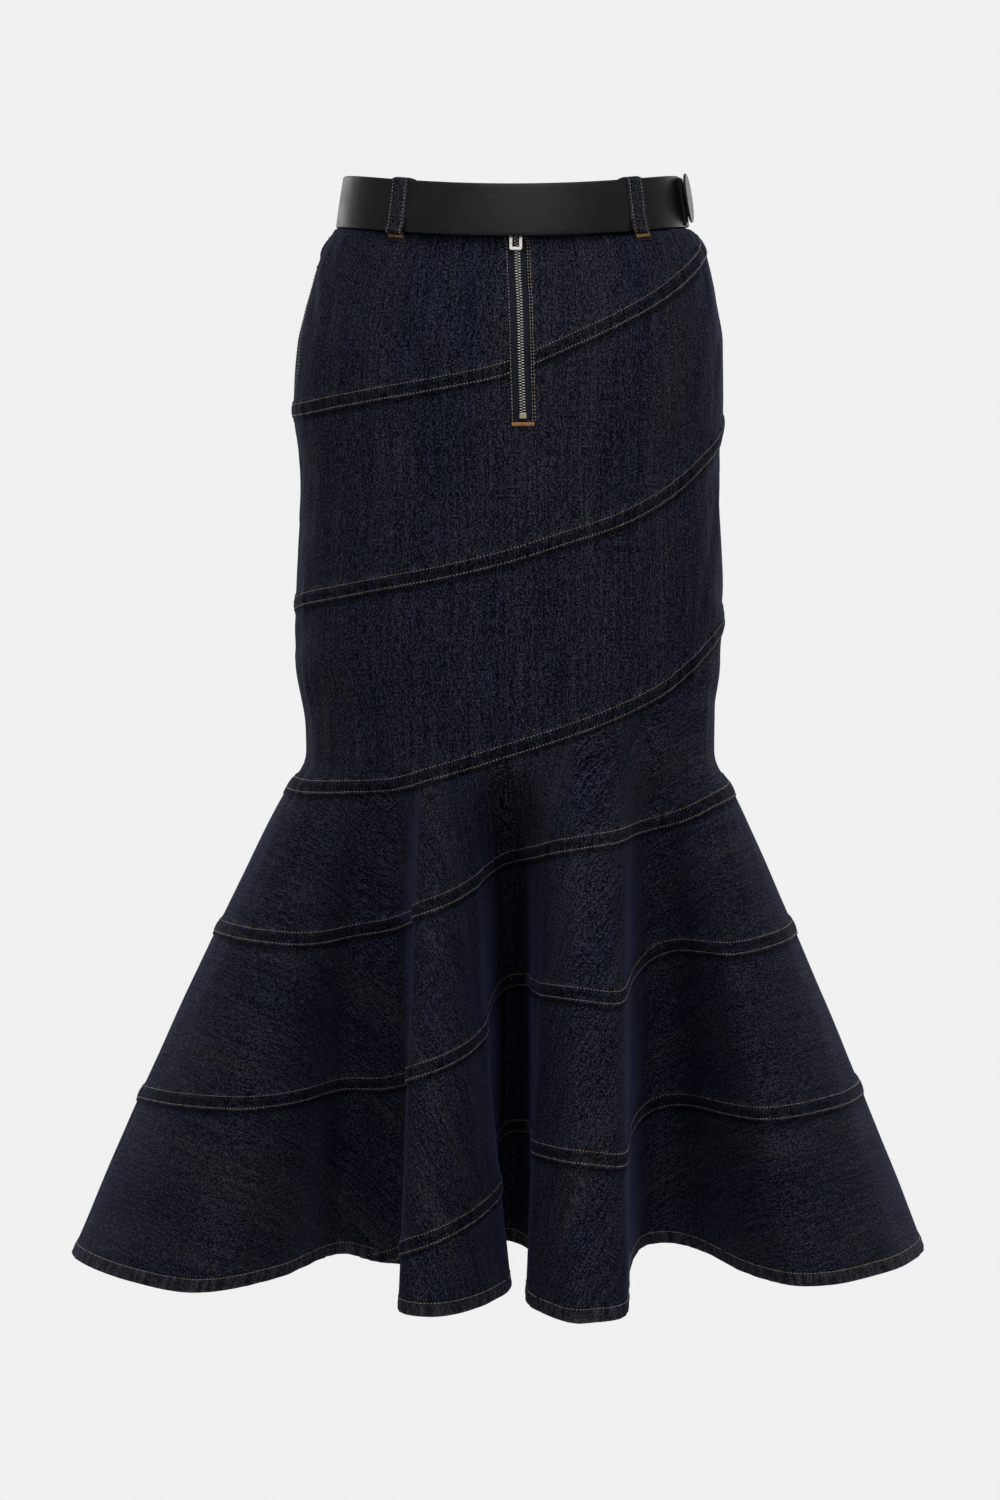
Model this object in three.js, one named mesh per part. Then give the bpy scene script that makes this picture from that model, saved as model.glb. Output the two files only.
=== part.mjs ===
import * as THREE from "three";

// Millimetres. The waist mount is the origin, +Z is up and the wearer faces -Y.
// An angle of 0 is the left of the picture, 90 the centre front, 180 the right and 270 the centre back.

const cloth = { wall: 1.2, gap: 0.3, lapWidth: 9.5, lapStep: 2.5, hemWidth: 10, hemLedge: 0.8 };
const levels = { knee: -418, hem: -818, soft: 0.05 };
const dip = { front: 12, back: 5, fadeFrom: -50, fadeTo: -150 };

// The tube above the knee: level under the waistline, half width, shift to the right, front depth, back depth.
const tubeRows = [
  { level: 22, half: 125.4, shift: 0.2, front: 86, back: 90 },
  { level: -15.5, half: 131.1, shift: 0.2, front: 89.4, back: 92.9 },
  { level: -17.5, half: 132, shift: 0.3, front: 89.8, back: 93.2 },
  { level: -18.1, half: 136.2, shift: 0.9, front: 90.5, back: 94.3 },
  { level: -19.8, half: 138.4, shift: 1.6, front: 91.2, back: 95.3 },
  { level: -22, half: 139.9, shift: 1.9, front: 91.9, back: 96.5 },
  { level: -25, half: 141.7, shift: 2.1, front: 92.7, back: 98 },
  { level: -30, half: 144.7, shift: 2, front: 94, back: 100.3 },
  { level: -35, half: 147.4, shift: 1.8, front: 95.5, back: 102.5 },
  { level: -60, half: 154.5, shift: 1.5, front: 102, back: 113 },
  { level: -80, half: 159.5, shift: 0.5, front: 107, back: 120 },
  { level: -105, half: 164, shift: -1, front: 112, back: 127 },
  { level: -150, half: 166, shift: -2, front: 115.5, back: 134 },
  { level: -215, half: 162, shift: -1, front: 116, back: 135 },
  { level: -300, half: 165.5, shift: -1, front: 117, back: 129 },
  { level: -345, half: 165.5, shift: -2.5, front: 117, back: 124 },
  { level: -402, half: 159, shift: -1, front: 115.5, back: 120 },
  { level: -450, half: 158.5, shift: 0.5, front: 115, back: 118 },
];

// The flare at the hem, one row for each line of a fold: angle, place at the hem, how far the hem is lifted
// there, and the share of the way out that is reached at half height.
const foldRows = [
  { angle: 0, x: -343, y: -5, lift: 0, half: 0.528 },
  { angle: 14, x: -290, y: -100, lift: 0, half: 0.52 },
  { angle: 26, x: -232, y: -142, lift: 0, half: 0.5 },
  { angle: 37, x: -176, y: -92, lift: 1.5, half: 0.52 },
  { angle: 46, x: -134, y: -15, lift: 4, half: 0.56 },
  { angle: 53, x: -103, y: -30, lift: 1, half: 0.56 },
  { angle: 59, x: -76, y: -60, lift: 0, half: 0.56 },
  { angle: 62.5, x: -72, y: -130, lift: 0, half: 0.56 },
  { angle: 65.5, x: -83, y: -205, lift: 0, half: 0.55 },
  { angle: 69, x: -52, y: -226, lift: 0, half: 0.55 },
  { angle: 72, x: -22, y: -190, lift: 0, half: 0.52 },
  { angle: 74.6, x: -2, y: -135, lift: 0, half: 0.46 },
  { angle: 80, x: -14, y: -60, lift: 4, half: 0.66 },
  { angle: 88, x: -4, y: 8, lift: 10, half: 0.95 },
  { angle: 93, x: 14, y: -22, lift: 8, half: 0.92 },
  { angle: 98.5, x: 15, y: -100, lift: 4, half: 0.62 },
  { angle: 103.5, x: 12.5, y: -187, lift: 0, half: 0.53 },
  { angle: 107, x: 35, y: -238, lift: 0, half: 0.53 },
  { angle: 113, x: 62, y: -245, lift: 0, half: 0.54 },
  { angle: 119, x: 83, y: -222, lift: 0, half: 0.55 },
  { angle: 122, x: 86, y: -190, lift: 0, half: 0.55 },
  { angle: 125.5, x: 91, y: -72, lift: 3, half: 0.58 },
  { angle: 129, x: 101, y: -8, lift: 6, half: 0.6 },
  { angle: 133.5, x: 120, y: 14, lift: 7, half: 0.6 },
  { angle: 139, x: 148, y: -6, lift: 5, half: 0.56 },
  { angle: 144, x: 175, y: -62, lift: 1, half: 0.52 },
  { angle: 151, x: 209, y: -114, lift: 0, half: 0.5 },
  { angle: 158, x: 242, y: -114, lift: 0, half: 0.5 },
  { angle: 165, x: 274, y: -84, lift: 0, half: 0.51 },
  { angle: 173, x: 308, y: -34, lift: 0, half: 0.52 },
  { angle: 180, x: 328, y: 32, lift: 0, half: 0.52 },
  { angle: 188, x: 312, y: 95, lift: 0, half: 0.515 },
  { angle: 197, x: 262, y: 150, lift: 0, half: 0.5 },
  { angle: 206, x: 205, y: 158, lift: 0, half: 0.5 },
  { angle: 214, x: 164, y: 118, lift: 2, half: 0.54 },
  { angle: 221, x: 132, y: 96, lift: 5, half: 0.56 },
  { angle: 226, x: 112, y: 132, lift: 3, half: 0.56 },
  { angle: 231, x: 102, y: 205, lift: 0, half: 0.55 },
  { angle: 237, x: 80, y: 248, lift: 0, half: 0.55 },
  { angle: 244, x: 48, y: 256, lift: 0, half: 0.55 },
  { angle: 250, x: 22, y: 222, lift: 0, half: 0.55 },
  { angle: 254, x: 10, y: 160, lift: 2, half: 0.56 },
  { angle: 260, x: -8, y: 104, lift: 6, half: 0.6 },
  { angle: 267, x: -28, y: 122, lift: 5, half: 0.6 },
  { angle: 272, x: -38, y: 190, lift: 1, half: 0.56 },
  { angle: 278, x: -62, y: 252, lift: 0, half: 0.55 },
  { angle: 285, x: -98, y: 258, lift: 0, half: 0.55 },
  { angle: 291, x: -122, y: 218, lift: 0, half: 0.55 },
  { angle: 296, x: -134, y: 146, lift: 2, half: 0.56 },
  { angle: 303, x: -158, y: 92, lift: 5, half: 0.56 },
  { angle: 311, x: -190, y: 98, lift: 3, half: 0.54 },
  { angle: 319, x: -226, y: 138, lift: 0, half: 0.5 },
  { angle: 329, x: -272, y: 140, lift: 0, half: 0.5 },
  { angle: 341, x: -320, y: 92, lift: 0, half: 0.52 },
  { angle: 351, x: -342, y: 40, lift: 0, half: 0.528 },
];

// Heights of the spiral seams at these angles of the front; each ends at the side where one of the back goes on.
// In the flare the angles move with the folds, by each seam's share of the turns.
const seamAngles = [0, 20, 40, 57, 72, 90, 105, 120, 135, 155, 180];
const seamTurns = [0, 0, 0, 0, -1.6, -1.2, 2, 2, 0, 0, 0];
const seamShares = [0, 0, 0, 0.25, 0.5, 0.9];
const frontSeams = [
  [-157, -156, -151, -145, -138.5, -127, -108.5, -90, -71.5, -48, -28],
  [-307, -301, -294.5, -287, -279.5, -267, -253.5, -240.5, -223, -195.5, -168],
  [-445, -445.5, -443, -439, -427.5, -412, -399, -385, -368.5, -340.5, -316],
  [-557, -557.5, -557, -546, -520, -498, -483, -476.5, -470, -456.5, -449],
  [-688, -681, -677, -670, -634, -600, -588.5, -592, -570, -566, -559],
  [-806, -806, -806, -806, -755, -719, -703, -708, -693.5, -689.5, -687],
];
const backSeams = [
  { left: -29.5, right: -168, sag: 16 },
  { left: -157, right: -316, sag: 16 },
  { left: -307, right: -449, sag: 14 },
  { left: -445, right: -559, sag: 8 },
  { left: -557, right: -687, sag: 0 },
  { left: -688, right: -860, sag: 0 },
];
const frontTip = 57;
const backTip = 236;

const count = { upper: 20, lower: 45 };

const waistband = { top: 17, bottom: -15.5, out: 0.6, wall: 2.4 };
const waist = { half: 131.1, halfSlope: 0.15, frontSlope: 0.09, backMore: 3.5 };
const belt = { top: 22, bottom: -17.2, thick: 2.8, edge: 0.5, side: 1.2, frontMore: 5.8, columns: 60 };
const beltEnd = { from: 168, to: 214, level: 2.4, halfWidth: 18.4, thick: 1.8, tip: 13 };
const disc = { angle: 172, level: 5.1, radius: 17.8, edge: 1.2, thick: 2.8, tilt: 0.14, turn: 0.16 };
const stud = { radius: 5, height: 1 };
const loops = { width: 14, wall: 1, foot: -24.8, lift: 2, angles: [51, 134, 228, 270, 312] };

const zip = {
  topX: 3.8, slant: 0.034, slotHalf: 6.8, bottom: -167, top: 16.5, tapeHalf: 12, tapeWall: 0.8,
  chainHalf: 2.5, chainFront: 0.6, stopHalf: 2.7, stopHeight: 4.2, behind: 2.8,
  bends: [-29, -30.6, -32.6, -35, -39, -48, -60, -75, -92, -110, -130, -150],
};
const slider = { topLevel: 15, height: 12, width: 8.6, waist: 5.4, back: 0.9, thick: 1.7 };
const bridge = { height: 6.4, width: 2.4, leg: 1.1, rise: 1.5, roof: 0.9 };
const pull = {
  width: 9.8, neck: 6.4, length: 38.6, thick: 1, eye: 4.2, eyeWidth: 3.4, windowTop: 24, margin: 2.4, round: 1.6,
  tilt: 0.06,
};
const pocket = { top: -48, bottom: -154, middle: -122, open: 8.5, from: -3, to: 15, behind: 2.4 };

const denim = new THREE.MeshStandardMaterial({ color: 0x23263a, roughness: 0.9, metalness: 0 });
const facing = new THREE.MeshStandardMaterial({ color: 0x15161f, roughness: 0.95, metalness: 0 });
const leather = new THREE.MeshStandardMaterial({ color: 0x17181a, roughness: 0.42, metalness: 0 });
const tapeCloth = new THREE.MeshStandardMaterial({ color: 0x14151b, roughness: 0.9, metalness: 0 });
const steel = new THREE.MeshStandardMaterial({ color: 0xb9bcc2, roughness: 0.3, metalness: 1 });
const brass = new THREE.MeshStandardMaterial({ color: 0xc9b487, roughness: 0.35, metalness: 1 });

const skirt = new THREE.Group();
skirt.name = "skirt";

const radians = Math.PI / 180;
const clamp = (v, low, high) => Math.min(high, Math.max(low, v));
const smooth = (v) => { const u = clamp(v, 0, 1); return u * u * (3 - 2 * u); };

// A smooth line through knots: cubic pieces whose slopes come from both neighbours, with no overshoot if steady.
function curve(knots, values, { period = 0, steady = false } = {}) {
  const x = [...knots], v = [...values];
  if (period) {
    x.unshift(knots.at(-2) - period, knots.at(-1) - period);
    v.unshift(values.at(-2), values.at(-1));
    x.push(knots[0] + period, knots[1] + period);
    v.push(values[0], values[1]);
  }
  const last = x.length - 1;
  const secant = (k) => (v[k + 1] - v[k]) / (x[k + 1] - x[k]);
  const slope = x.map((_, k) => {
    if (k === 0) return secant(0);
    if (k === last) return secant(last - 1);
    const before = secant(k - 1), after = secant(k);
    if (steady) return before * after <= 0 ? 0 : (2 * before * after) / (before + after);
    const h0 = x[k] - x[k - 1], h1 = x[k + 1] - x[k];
    return (before * h1 + after * h0) / (h0 + h1);
  });
  return (at) => {
    const t = period ? ((at % period) + period) % period : clamp(at, x[0], x[last]);
    let k = 0;
    while (k < last - 1 && t >= x[k + 1]) k += 1;
    const h = x[k + 1] - x[k], u = (t - x[k]) / h, u2 = u * u, u3 = u2 * u;
    return (2 * u3 - 3 * u2 + 1) * v[k] + (u3 - 2 * u2 + u) * h * slope[k]
      + (3 * u2 - 2 * u3) * v[k + 1] + (u3 - u2) * h * slope[k + 1];
  };
}

const tubeKnots = tubeRows.map((row) => -row.level);
const tubeCurve = (key) => curve(tubeKnots, tubeRows.map((row) => row[key]), { steady: true });
const tube = {
  half: tubeCurve("half"), shift: tubeCurve("shift"), front: tubeCurve("front"), back: tubeCurve("back"),
};
const foldKnots = foldRows.map((row) => row.angle);
const foldCurve = (key) => curve(foldKnots, foldRows.map((row) => row[key]), { period: 360 });
const fold = { x: foldCurve("x"), y: foldCurve("y"), lift: foldCurve("lift"), half: foldCurve("half") };

const dipAt = (angle) => {
  const s = Math.sin(angle * radians);
  return (s > 0 ? dip.front : dip.back) * s * s;
};
const hemAt = (angle) => levels.hem + fold.lift(angle);
const fromLevel = (angle, level) => level - dipAt(angle);

function tubePoint(angle, z) {
  const down = -(z + dipAt(angle) * smooth((z - dip.fadeTo) / (dip.fadeFrom - dip.fadeTo)));
  const c = Math.cos(angle * radians), s = Math.sin(angle * radians);
  const depth = s > 0 ? tube.front(down) : tube.back(down);
  return [tube.shift(down) - tube.half(down) * c, -depth * s];
}

// Under the knee each line runs out towards its place at the hem, softly at first.
function surface(angle, z) {
  if (z > levels.knee + 1) return [...tubePoint(angle, z), z];
  const [kneeX, kneeY] = tubePoint(angle, levels.knee);
  const share = Math.max(0, (levels.knee - z) / (levels.knee - hemAt(angle)));
  const e = share * (1 - Math.exp(-((share / levels.soft) ** 2))), half = fold.half(angle);
  const out = e * (4 * half - 1) + e * e * (2 - 4 * half);
  return [kneeX + out * (fold.x(angle) - kneeX), kneeY + out * (fold.y(angle) - kneeY), z];
}

function frame(angle, z) {
  const p = new THREE.Vector3(...surface(angle, z));
  const across = new THREE.Vector3(...surface(angle + 0.2, z)).sub(new THREE.Vector3(...surface(angle - 0.2, z)));
  const up = new THREE.Vector3(...surface(angle, z + 0.5)).sub(new THREE.Vector3(...surface(angle, z - 0.5)));
  return { p, normal: across.clone().cross(up).normalize(), speed: across.length() / 0.4 };
}

// One corner of a wall: the same place on its outer and its inner face.
function corner(angle, z, out = 0, wall = cloth.wall, acrossMm = 0) {
  const at = acrossMm ? angle + acrossMm / frame(angle, z).speed : angle;
  const { p, normal } = frame(at, z);
  return {
    t: at,
    outer: p.clone().addScaledVector(normal, out).toArray(),
    inner: p.clone().addScaledVector(normal, out - wall).toArray(),
  };
}

// A closed wall from rows of corners, top row first. Neighbouring rows may have different columns.
function wallGeometry(rows, ring = false) {
  const positions = [], index = [];
  const ids = rows.map((row) => {
    const line = row.map((c) => {
      positions.push(...c.outer, ...c.inner);
      return positions.length / 3 - 2;
    });
    return ring ? [...line, line[0]] : line;
  });
  const at = (r, k) => (k < rows[r].length ? rows[r][k].t : rows[r][0].t + 360);
  const face = (a, b, c) => index.push(a, b, c, c + 1, b + 1, a + 1);
  const quad = (a, b, c, d) => index.push(a, b, c, a, c, d);
  for (let r = 0; r < rows.length - 1; r += 1) {
    const upper = ids[r], lower = ids[r + 1];
    let i = 0, j = 0;
    while (i < upper.length - 1 || j < lower.length - 1) {
      const moveUpper = j === lower.length - 1
        || (i < upper.length - 1 && at(r, i) + at(r, i + 1) <= at(r + 1, j) + at(r + 1, j + 1) + 1e-6);
      if (moveUpper) {
        face(upper[i], lower[j], upper[i + 1]);
        i += 1;
      } else {
        face(upper[i], lower[j], lower[j + 1]);
        j += 1;
      }
    }
    if (ring) continue;
    quad(upper[0], upper[0] + 1, lower[0] + 1, lower[0]);
    quad(upper.at(-1), lower.at(-1), lower.at(-1) + 1, upper.at(-1) + 1);
  }
  for (let k = 0; k < ids[0].length - 1; k += 1) {
    const a = ids[0][k], b = ids[0][k + 1];
    quad(a, b, b + 1, a + 1);
  }
  for (let k = 0; k < ids.at(-1).length - 1; k += 1) {
    const a = ids.at(-1)[k], b = ids.at(-1)[k + 1];
    quad(b, a, a + 1, b + 1);
  }
  const geometry = new THREE.BufferGeometry();
  geometry.setAttribute("position", new THREE.Float32BufferAttribute(positions, 3));
  geometry.setIndex(index);
  geometry.computeVertexNormals();
  return geometry;
}

function add(name, geometry, material) {
  const mesh = new THREE.Mesh(geometry, material);
  mesh.name = name;
  skirt.add(mesh);
  return mesh;
}

// Columns of one half, close together where the hem turns and further apart where it runs straight.
function hemColumns(from, to, number, fixed) {
  const steps = 360, cost = [0];
  const place = (k) => { const a = from + ((to - from) * k) / steps; return [fold.x(a), fold.y(a)]; };
  for (let k = 1; k <= steps; k += 1) {
    const [x0, y0] = place(k - 1), [x1, y1] = place(k), [x2, y2] = place(Math.min(steps, k + 1));
    const turn = k === steps ? 0 : Math.atan2(
      (x1 - x0) * (y2 - y1) - (y1 - y0) * (x2 - x1), (x1 - x0) * (x2 - x1) + (y1 - y0) * (y2 - y1));
    cost.push(cost[k - 1] + Math.hypot(x1 - x0, y1 - y0) / 60 + Math.abs(turn) / radians / 45);
  }
  const list = [from];
  for (let n = 1, k = 0; n < number; n += 1) {
    const wanted = (cost[steps] * n) / number;
    while (cost[k + 1] < wanted) k += 1;
    list.push(from + ((to - from) * (k + (wanted - cost[k]) / (cost[k + 1] - cost[k]))) / steps);
  }
  list.push(to);
  const near = list.reduce((best, a) => (Math.abs(a - fixed) < Math.abs(best - fixed) ? a : best));
  list[list.indexOf(near)] = fixed;
  return list;
}

const even = (from, to, number) => Array.from({ length: number + 1 }, (_, k) => from + ((to - from) * k) / number);

const centreX = (z) => zip.topX + zip.slant * (-28 - z);
const centreAngle = (z) => 90 + Math.asin((centreX(z) - tube.shift(-z)) / tube.half(-z)) / radians;

const seamCurves = frontSeams.map((heights, k) => (
  curve(seamAngles.map((angle, n) => angle + seamTurns[n] * seamShares[k]), heights)));
const frontSeam = (k) => (angle) => seamCurves[k - 1](angle);
const backSeam = (k) => {
  const { left, right, sag } = backSeams[k - 1];
  return (angle) => {
    const f = (360 - angle) / 180;
    return left + (right - left) * f - sag * Math.sin(Math.PI * f);
  };
};
const waistSeam = (angle) => fromLevel(angle, waistband.bottom - cloth.gap);

// The rows of one band as [height above, share of the way down to the next seam, height below].
// The lower margin steps out over the next band's upper margin; at the hem it is a low ledge.
const lapHalf = cloth.lapWidth / 2;
const lapOut = cloth.wall + cloth.gap;

function bandRows({ top, bottom, seamTop, columns, lowColumns = columns, shares, hemBelow }) {
  const rows = [];
  const under = seamTop ? (a) => top(a) + lapHalf - 0.4 : top;
  const start = seamTop ? (a) => top(a) - lapHalf - 1 : (a) => top(a) - 1.6;
  const free = (a) => hemBelow(a);
  const kneel = (a) => (free(a) ? hemAt(a) + cloth.hemWidth + 1 : bottom(a) + lapHalf + cloth.lapStep);
  const ledge = (a) => (free(a) ? hemAt(a) + cloth.hemWidth : bottom(a) + lapHalf);
  const end = (a) => (free(a) ? hemAt(a) : bottom(a) - lapHalf);
  const out = (a) => (free(a) ? cloth.hemLedge : lapOut);
  const wall = (a) => cloth.wall + (free(a) ? cloth.hemLedge : 0);
  rows.push({ columns, z: under }, { columns, z: start });
  for (const share of shares) rows.push({ columns, z: (a) => start(a) + (kneel(a) - start(a)) * share, share });
  rows.push({ columns: lowColumns, z: kneel });
  rows.push({ columns: lowColumns, z: ledge, out, wall });
  rows.push({ columns: lowColumns, z: end, out, wall });
  return rows;
}

function bandGeometry(rows, edges = {}) {
  return wallGeometry(rows.map((row) => row.columns.map((angle, k) => {
    const last = row.columns.length - 1;
    let place = angle, shift = 0;
    if (edges.warp) place = edges.warp(angle, row);
    if (k === 0) shift = cloth.gap / 2;
    if (k === last) shift = -cloth.gap / 2;
    const z = row.z(place);
    return corner(place, z, row.out ? row.out(place) : 0, row.wall ? row.wall(place) : cloth.wall, shift);
  })));
}

const columns = {
  front: even(0, 180, count.upper),
  back: even(180, 360, count.upper),
  frontLow: hemColumns(0, 180, count.lower, frontTip),
  backLow: hemColumns(180, 360, count.lower, backTip),
};
const never = () => false;
const middle = count.upper / 2;
const leftColumns = columns.front.slice(0, middle + 1);
const rightColumns = columns.front.slice(middle);

// The centre column follows the slanting zip; beside the zip the band stops at its slot.
const centreZ = (row) => {
  let z = row.z(90);
  for (let k = 0; k < 4; k += 1) z = row.z(centreAngle(z));
  return z;
};
const spread = (angle, centre) => (angle <= 90 ? (angle * centre) / 90 : 180 - ((180 - angle) * (180 - centre)) / 90);

function warpToZip(side) {
  return (angle, row) => {
    const z = centreZ(row), open = z > zip.bottom - 0.1;
    const half = open ? zip.slotHalf : 0;
    const centre = centreAngle(z) + (side * half) / frame(90, z).speed;
    return spread(angle, centre);
  };
}
const warpToCentre = (angle, row) => spread(angle, row.columns === columns.front ? centreAngle(centreZ(row)) : 90);

// The pocket's mouth is a lens cut into the left edge of the upper left band.
const mouth = (z) => {
  const end = z > pocket.middle ? pocket.top : pocket.bottom;
  return pocket.open * smooth((end - z) / (end - pocket.middle));
};

// Shares of the way down each strip that get a row of corners; the slot's end adds two to the second front strip.
const lowShares = [[0.22, 0.44, 0.66, 0.84], [0.3, 0.62], [0.34, 0.67], [0.34, 0.67]];
const frontShares = [[0.01, 0.035, 0.17, 0.36, 0.58, 0.8], [...slotShares(1), 0.55, 0.8], ...lowShares];
const backShares = [[0.01, 0.05, 0.2, 0.45, 0.72], [0.1, 0.25, 0.5, 0.75], ...lowShares];

function frontBand(name, k, side) {
  const list = { "-1": leftColumns, 0: columns.front, 1: rightColumns }[side];
  const rows = bandRows({
    top: k === 0 ? waistSeam : frontSeam(k), seamTop: k > 0, bottom: frontSeam(k + 1), shares: frontShares[k],
    columns: k > 2 ? columns.frontLow : list, lowColumns: k > 1 ? columns.frontLow : list,
    hemBelow: k === 5 ? (a) => a < frontTip - 0.01 : never,
  });
  const warp = side === 0 ? (k === 2 ? warpToCentre : null) : warpToZip(side);
  const cut = k === 0 && side < 0
    ? (angle, row) => { const w = warp(angle, row); return Math.max(w, 0) + mouth(row.z(0)) * (1 - w / 90); }
    : warp;
  add(name, bandGeometry(rows, { warp: cut }), denim);
}

function slotShares(k) {
  const centre = centreAngle(zip.bottom);
  const start = frontSeam(k)(centre) - lapHalf - 1;
  const kneel = frontSeam(k + 1)(centre) + lapHalf + cloth.lapStep;
  return [zip.bottom, zip.bottom - 1.2].map((z) => (z - start) / (kneel - start));
}

frontBand("front_band_0_left", 0, -1);
frontBand("front_band_0_right", 0, 1);
frontBand("front_band_1_left", 1, -1);
frontBand("front_band_1_right", 1, 1);
for (let k = 2; k <= 5; k += 1) frontBand(`front_band_${k}`, k, 0);

for (let k = 0; k <= 5; k += 1) {
  const rows = bandRows({
    top: k === 0 ? waistSeam : backSeam(k), seamTop: k > 0, bottom: backSeam(k + 1), shares: backShares[k],
    columns: k > 2 ? columns.backLow : columns.back, lowColumns: k > 1 ? columns.backLow : columns.back,
    hemBelow: k === 5 ? (a) => a < backTip - 0.01 : never,
  });
  add(`back_band_${k}`, bandGeometry(rows), denim);
}

// The last band of each half tapers out at its tip, where its seam runs into the hem.
function tipBand(name, seam, list, tip) {
  const part = list.filter((angle) => angle > tip - 0.01);
  const top = (a) => seam(a) + lapHalf - 0.4;
  const kneel = (a) => hemAt(a) + cloth.hemWidth + 1;
  const start = (a) => Math.max(seam(a) - lapHalf - 1, top(a) + (kneel(a) - top(a)) * 0.4);
  const rows = [
    { columns: part, z: top },
    { columns: part, z: start },
    { columns: part, z: (a) => start(a) + (kneel(a) - start(a)) * 0.5 },
    { columns: part, z: kneel },
    ...[(a) => hemAt(a) + cloth.hemWidth, hemAt].map((z) => {
      const out = (a) => (seam(a) - lapHalf - 1 < z(a) ? 0 : cloth.hemLedge);
      return { columns: part, z, out, wall: (a) => cloth.wall + out(a) };
    }),
  ];
  add(name, bandGeometry(rows), denim);
}
tipBand("front_band_6", frontSeam(6), columns.frontLow, frontTip);
tipBand("back_band_6", backSeam(6), columns.backLow, backTip);

// Waistband: two fronts that stop at the zip, and the back.
function waistPiece(name, list, side) {
  const rows = [waistband.top, waistband.bottom].map((level) => ({
    columns: list, z: (a) => fromLevel(a, level), out: () => waistband.out, wall: () => waistband.wall,
  }));
  add(name, bandGeometry(rows, { warp: side ? warpToZip(side) : null }), denim);
}
waistPiece("waistband_left", leftColumns, -1);
waistPiece("waistband_right", rightColumns, 1);
waistPiece("waistband_back", columns.back, 0);

// Belt and its free end lie outside the waistband, a little further off at the front to clear the slider.
function waistPoint(angle, out, level) {
  const c = Math.cos(angle * radians), s = Math.sin(angle * radians);
  const above = level - waistband.bottom;
  const half = waist.half - waist.halfSlope * above;
  const depth = tube.front(-waistband.bottom) - waist.frontSlope * above + (s > 0 ? 0 : waist.backMore);
  return [tube.shift(0) - (half + out) * c, -(depth + out) * s, fromLevel(angle, level)];
}
const beltOut = (angle) => belt.side + belt.frontMore * Math.max(0, Math.sin(angle * radians)) ** 2;

function strapCorner(angle, level, out, thick, edge) {
  return { t: angle, outer: waistPoint(angle, out + thick - edge, level), inner: waistPoint(angle, out, level) };
}
const beltRows = [[belt.top, belt.edge], [belt.top - 1.5, 0], [belt.bottom + 1.5, 0], [belt.bottom, belt.edge]];
add("belt_strap", wallGeometry(beltRows.map(([level, edge]) => even(0, 360, belt.columns).slice(0, -1)
  .map((angle) => strapCorner(angle, level, beltOut(angle), belt.thick, edge))), true), leather);

const endColumns = even(beltEnd.from, beltEnd.to, 14);
const endHalf = (angle) => {
  const left = (beltEnd.to - angle) / beltEnd.tip;
  return beltEnd.halfWidth * Math.sqrt(clamp(1 - (1 - Math.min(left, 1)) ** 2, 0.09, 1));
};
const endOut = (angle) => beltOut(angle) + belt.thick + cloth.gap;
add("belt_end", wallGeometry([1, 0, -1].map((side) => endColumns.map((angle) => (
  strapCorner(angle, beltEnd.level + side * endHalf(angle), endOut(angle), beltEnd.thick, 0.3))))), leather);

function turned(radius, height, bevel, segments = 10) {
  const shape = new THREE.Shape().absarc(0, 0, radius, 0, Math.PI * 2);
  return new THREE.ExtrudeGeometry(shape, {
    depth: Math.max(0.2, height - 2 * bevel), curveSegments: segments, bevelEnabled: bevel > 0,
    bevelThickness: bevel, bevelSize: bevel, bevelSegments: 2,
  }).translate(0, 0, bevel);
}
const discOut = endOut(disc.angle) + beltEnd.thick + cloth.gap;
const faceRight = new THREE.Matrix4().makeRotationZ(-disc.turn)
  .multiply(new THREE.Matrix4().makeRotationY(Math.PI / 2 - disc.tilt));
const discAt = (out) => new THREE.Matrix4().makeTranslation(...waistPoint(disc.angle, out, disc.level));
add("buckle_stud", turned(stud.radius, stud.height, 0).applyMatrix4(faceRight)
  .applyMatrix4(discAt(discOut)), leather);
add("buckle_disc", turned(disc.radius, disc.thick, disc.edge, 16).applyMatrix4(faceRight)
  .applyMatrix4(discAt(discOut + stud.height + cloth.gap)), leather);

// Belt loops: from the band under the belt, over the belt's face and down onto the waistband's top.
function beltLoop(angle, number) {
  const skin = (level, out) => (a) => {
    const { p, normal } = frame(a, fromLevel(a, level));
    return p.addScaledVector(normal, out).toArray();
  };
  const round = (level, out) => (a) => waistPoint(a, out + beltOut(a) + belt.thick, level);
  const inside = (level, out) => (a) => waistPoint(a, out, level);
  const lift = cloth.gap + loops.wall, over = belt.top + cloth.gap, low = belt.bottom;
  const path = [
    [skin(loops.foot, lift), skin(loops.foot, cloth.gap)],
    [skin(loops.foot + 3, lift), skin(loops.foot + 3, cloth.gap)],
    [round(low, lift + loops.lift), round(low - 0.7, cloth.gap + loops.lift - 0.4)],
    [round(0, lift + 0.2), round(0, cloth.gap + 0.2)],
    [round(over + loops.wall * 0.6, lift), round(over, cloth.gap)],
    [inside(over + loops.wall, -2.4), inside(over, -1.2)],
    [inside(waistband.top + 0.4, -2.4), inside(waistband.top + 0.4, -1.2)],
  ].reverse();
  const half = loops.width / 2 / frame(angle, -20).speed;
  const list = [angle - half, angle, angle + half];
  const rows = path.map(([outer, inner]) => list.map((a) => ({ t: a, outer: outer(a), inner: inner(a) })));
  add(`belt_loop_${number}`, wallGeometry(rows), denim);
}
loops.angles.forEach((angle, k) => beltLoop(angle, k + 1));

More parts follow.
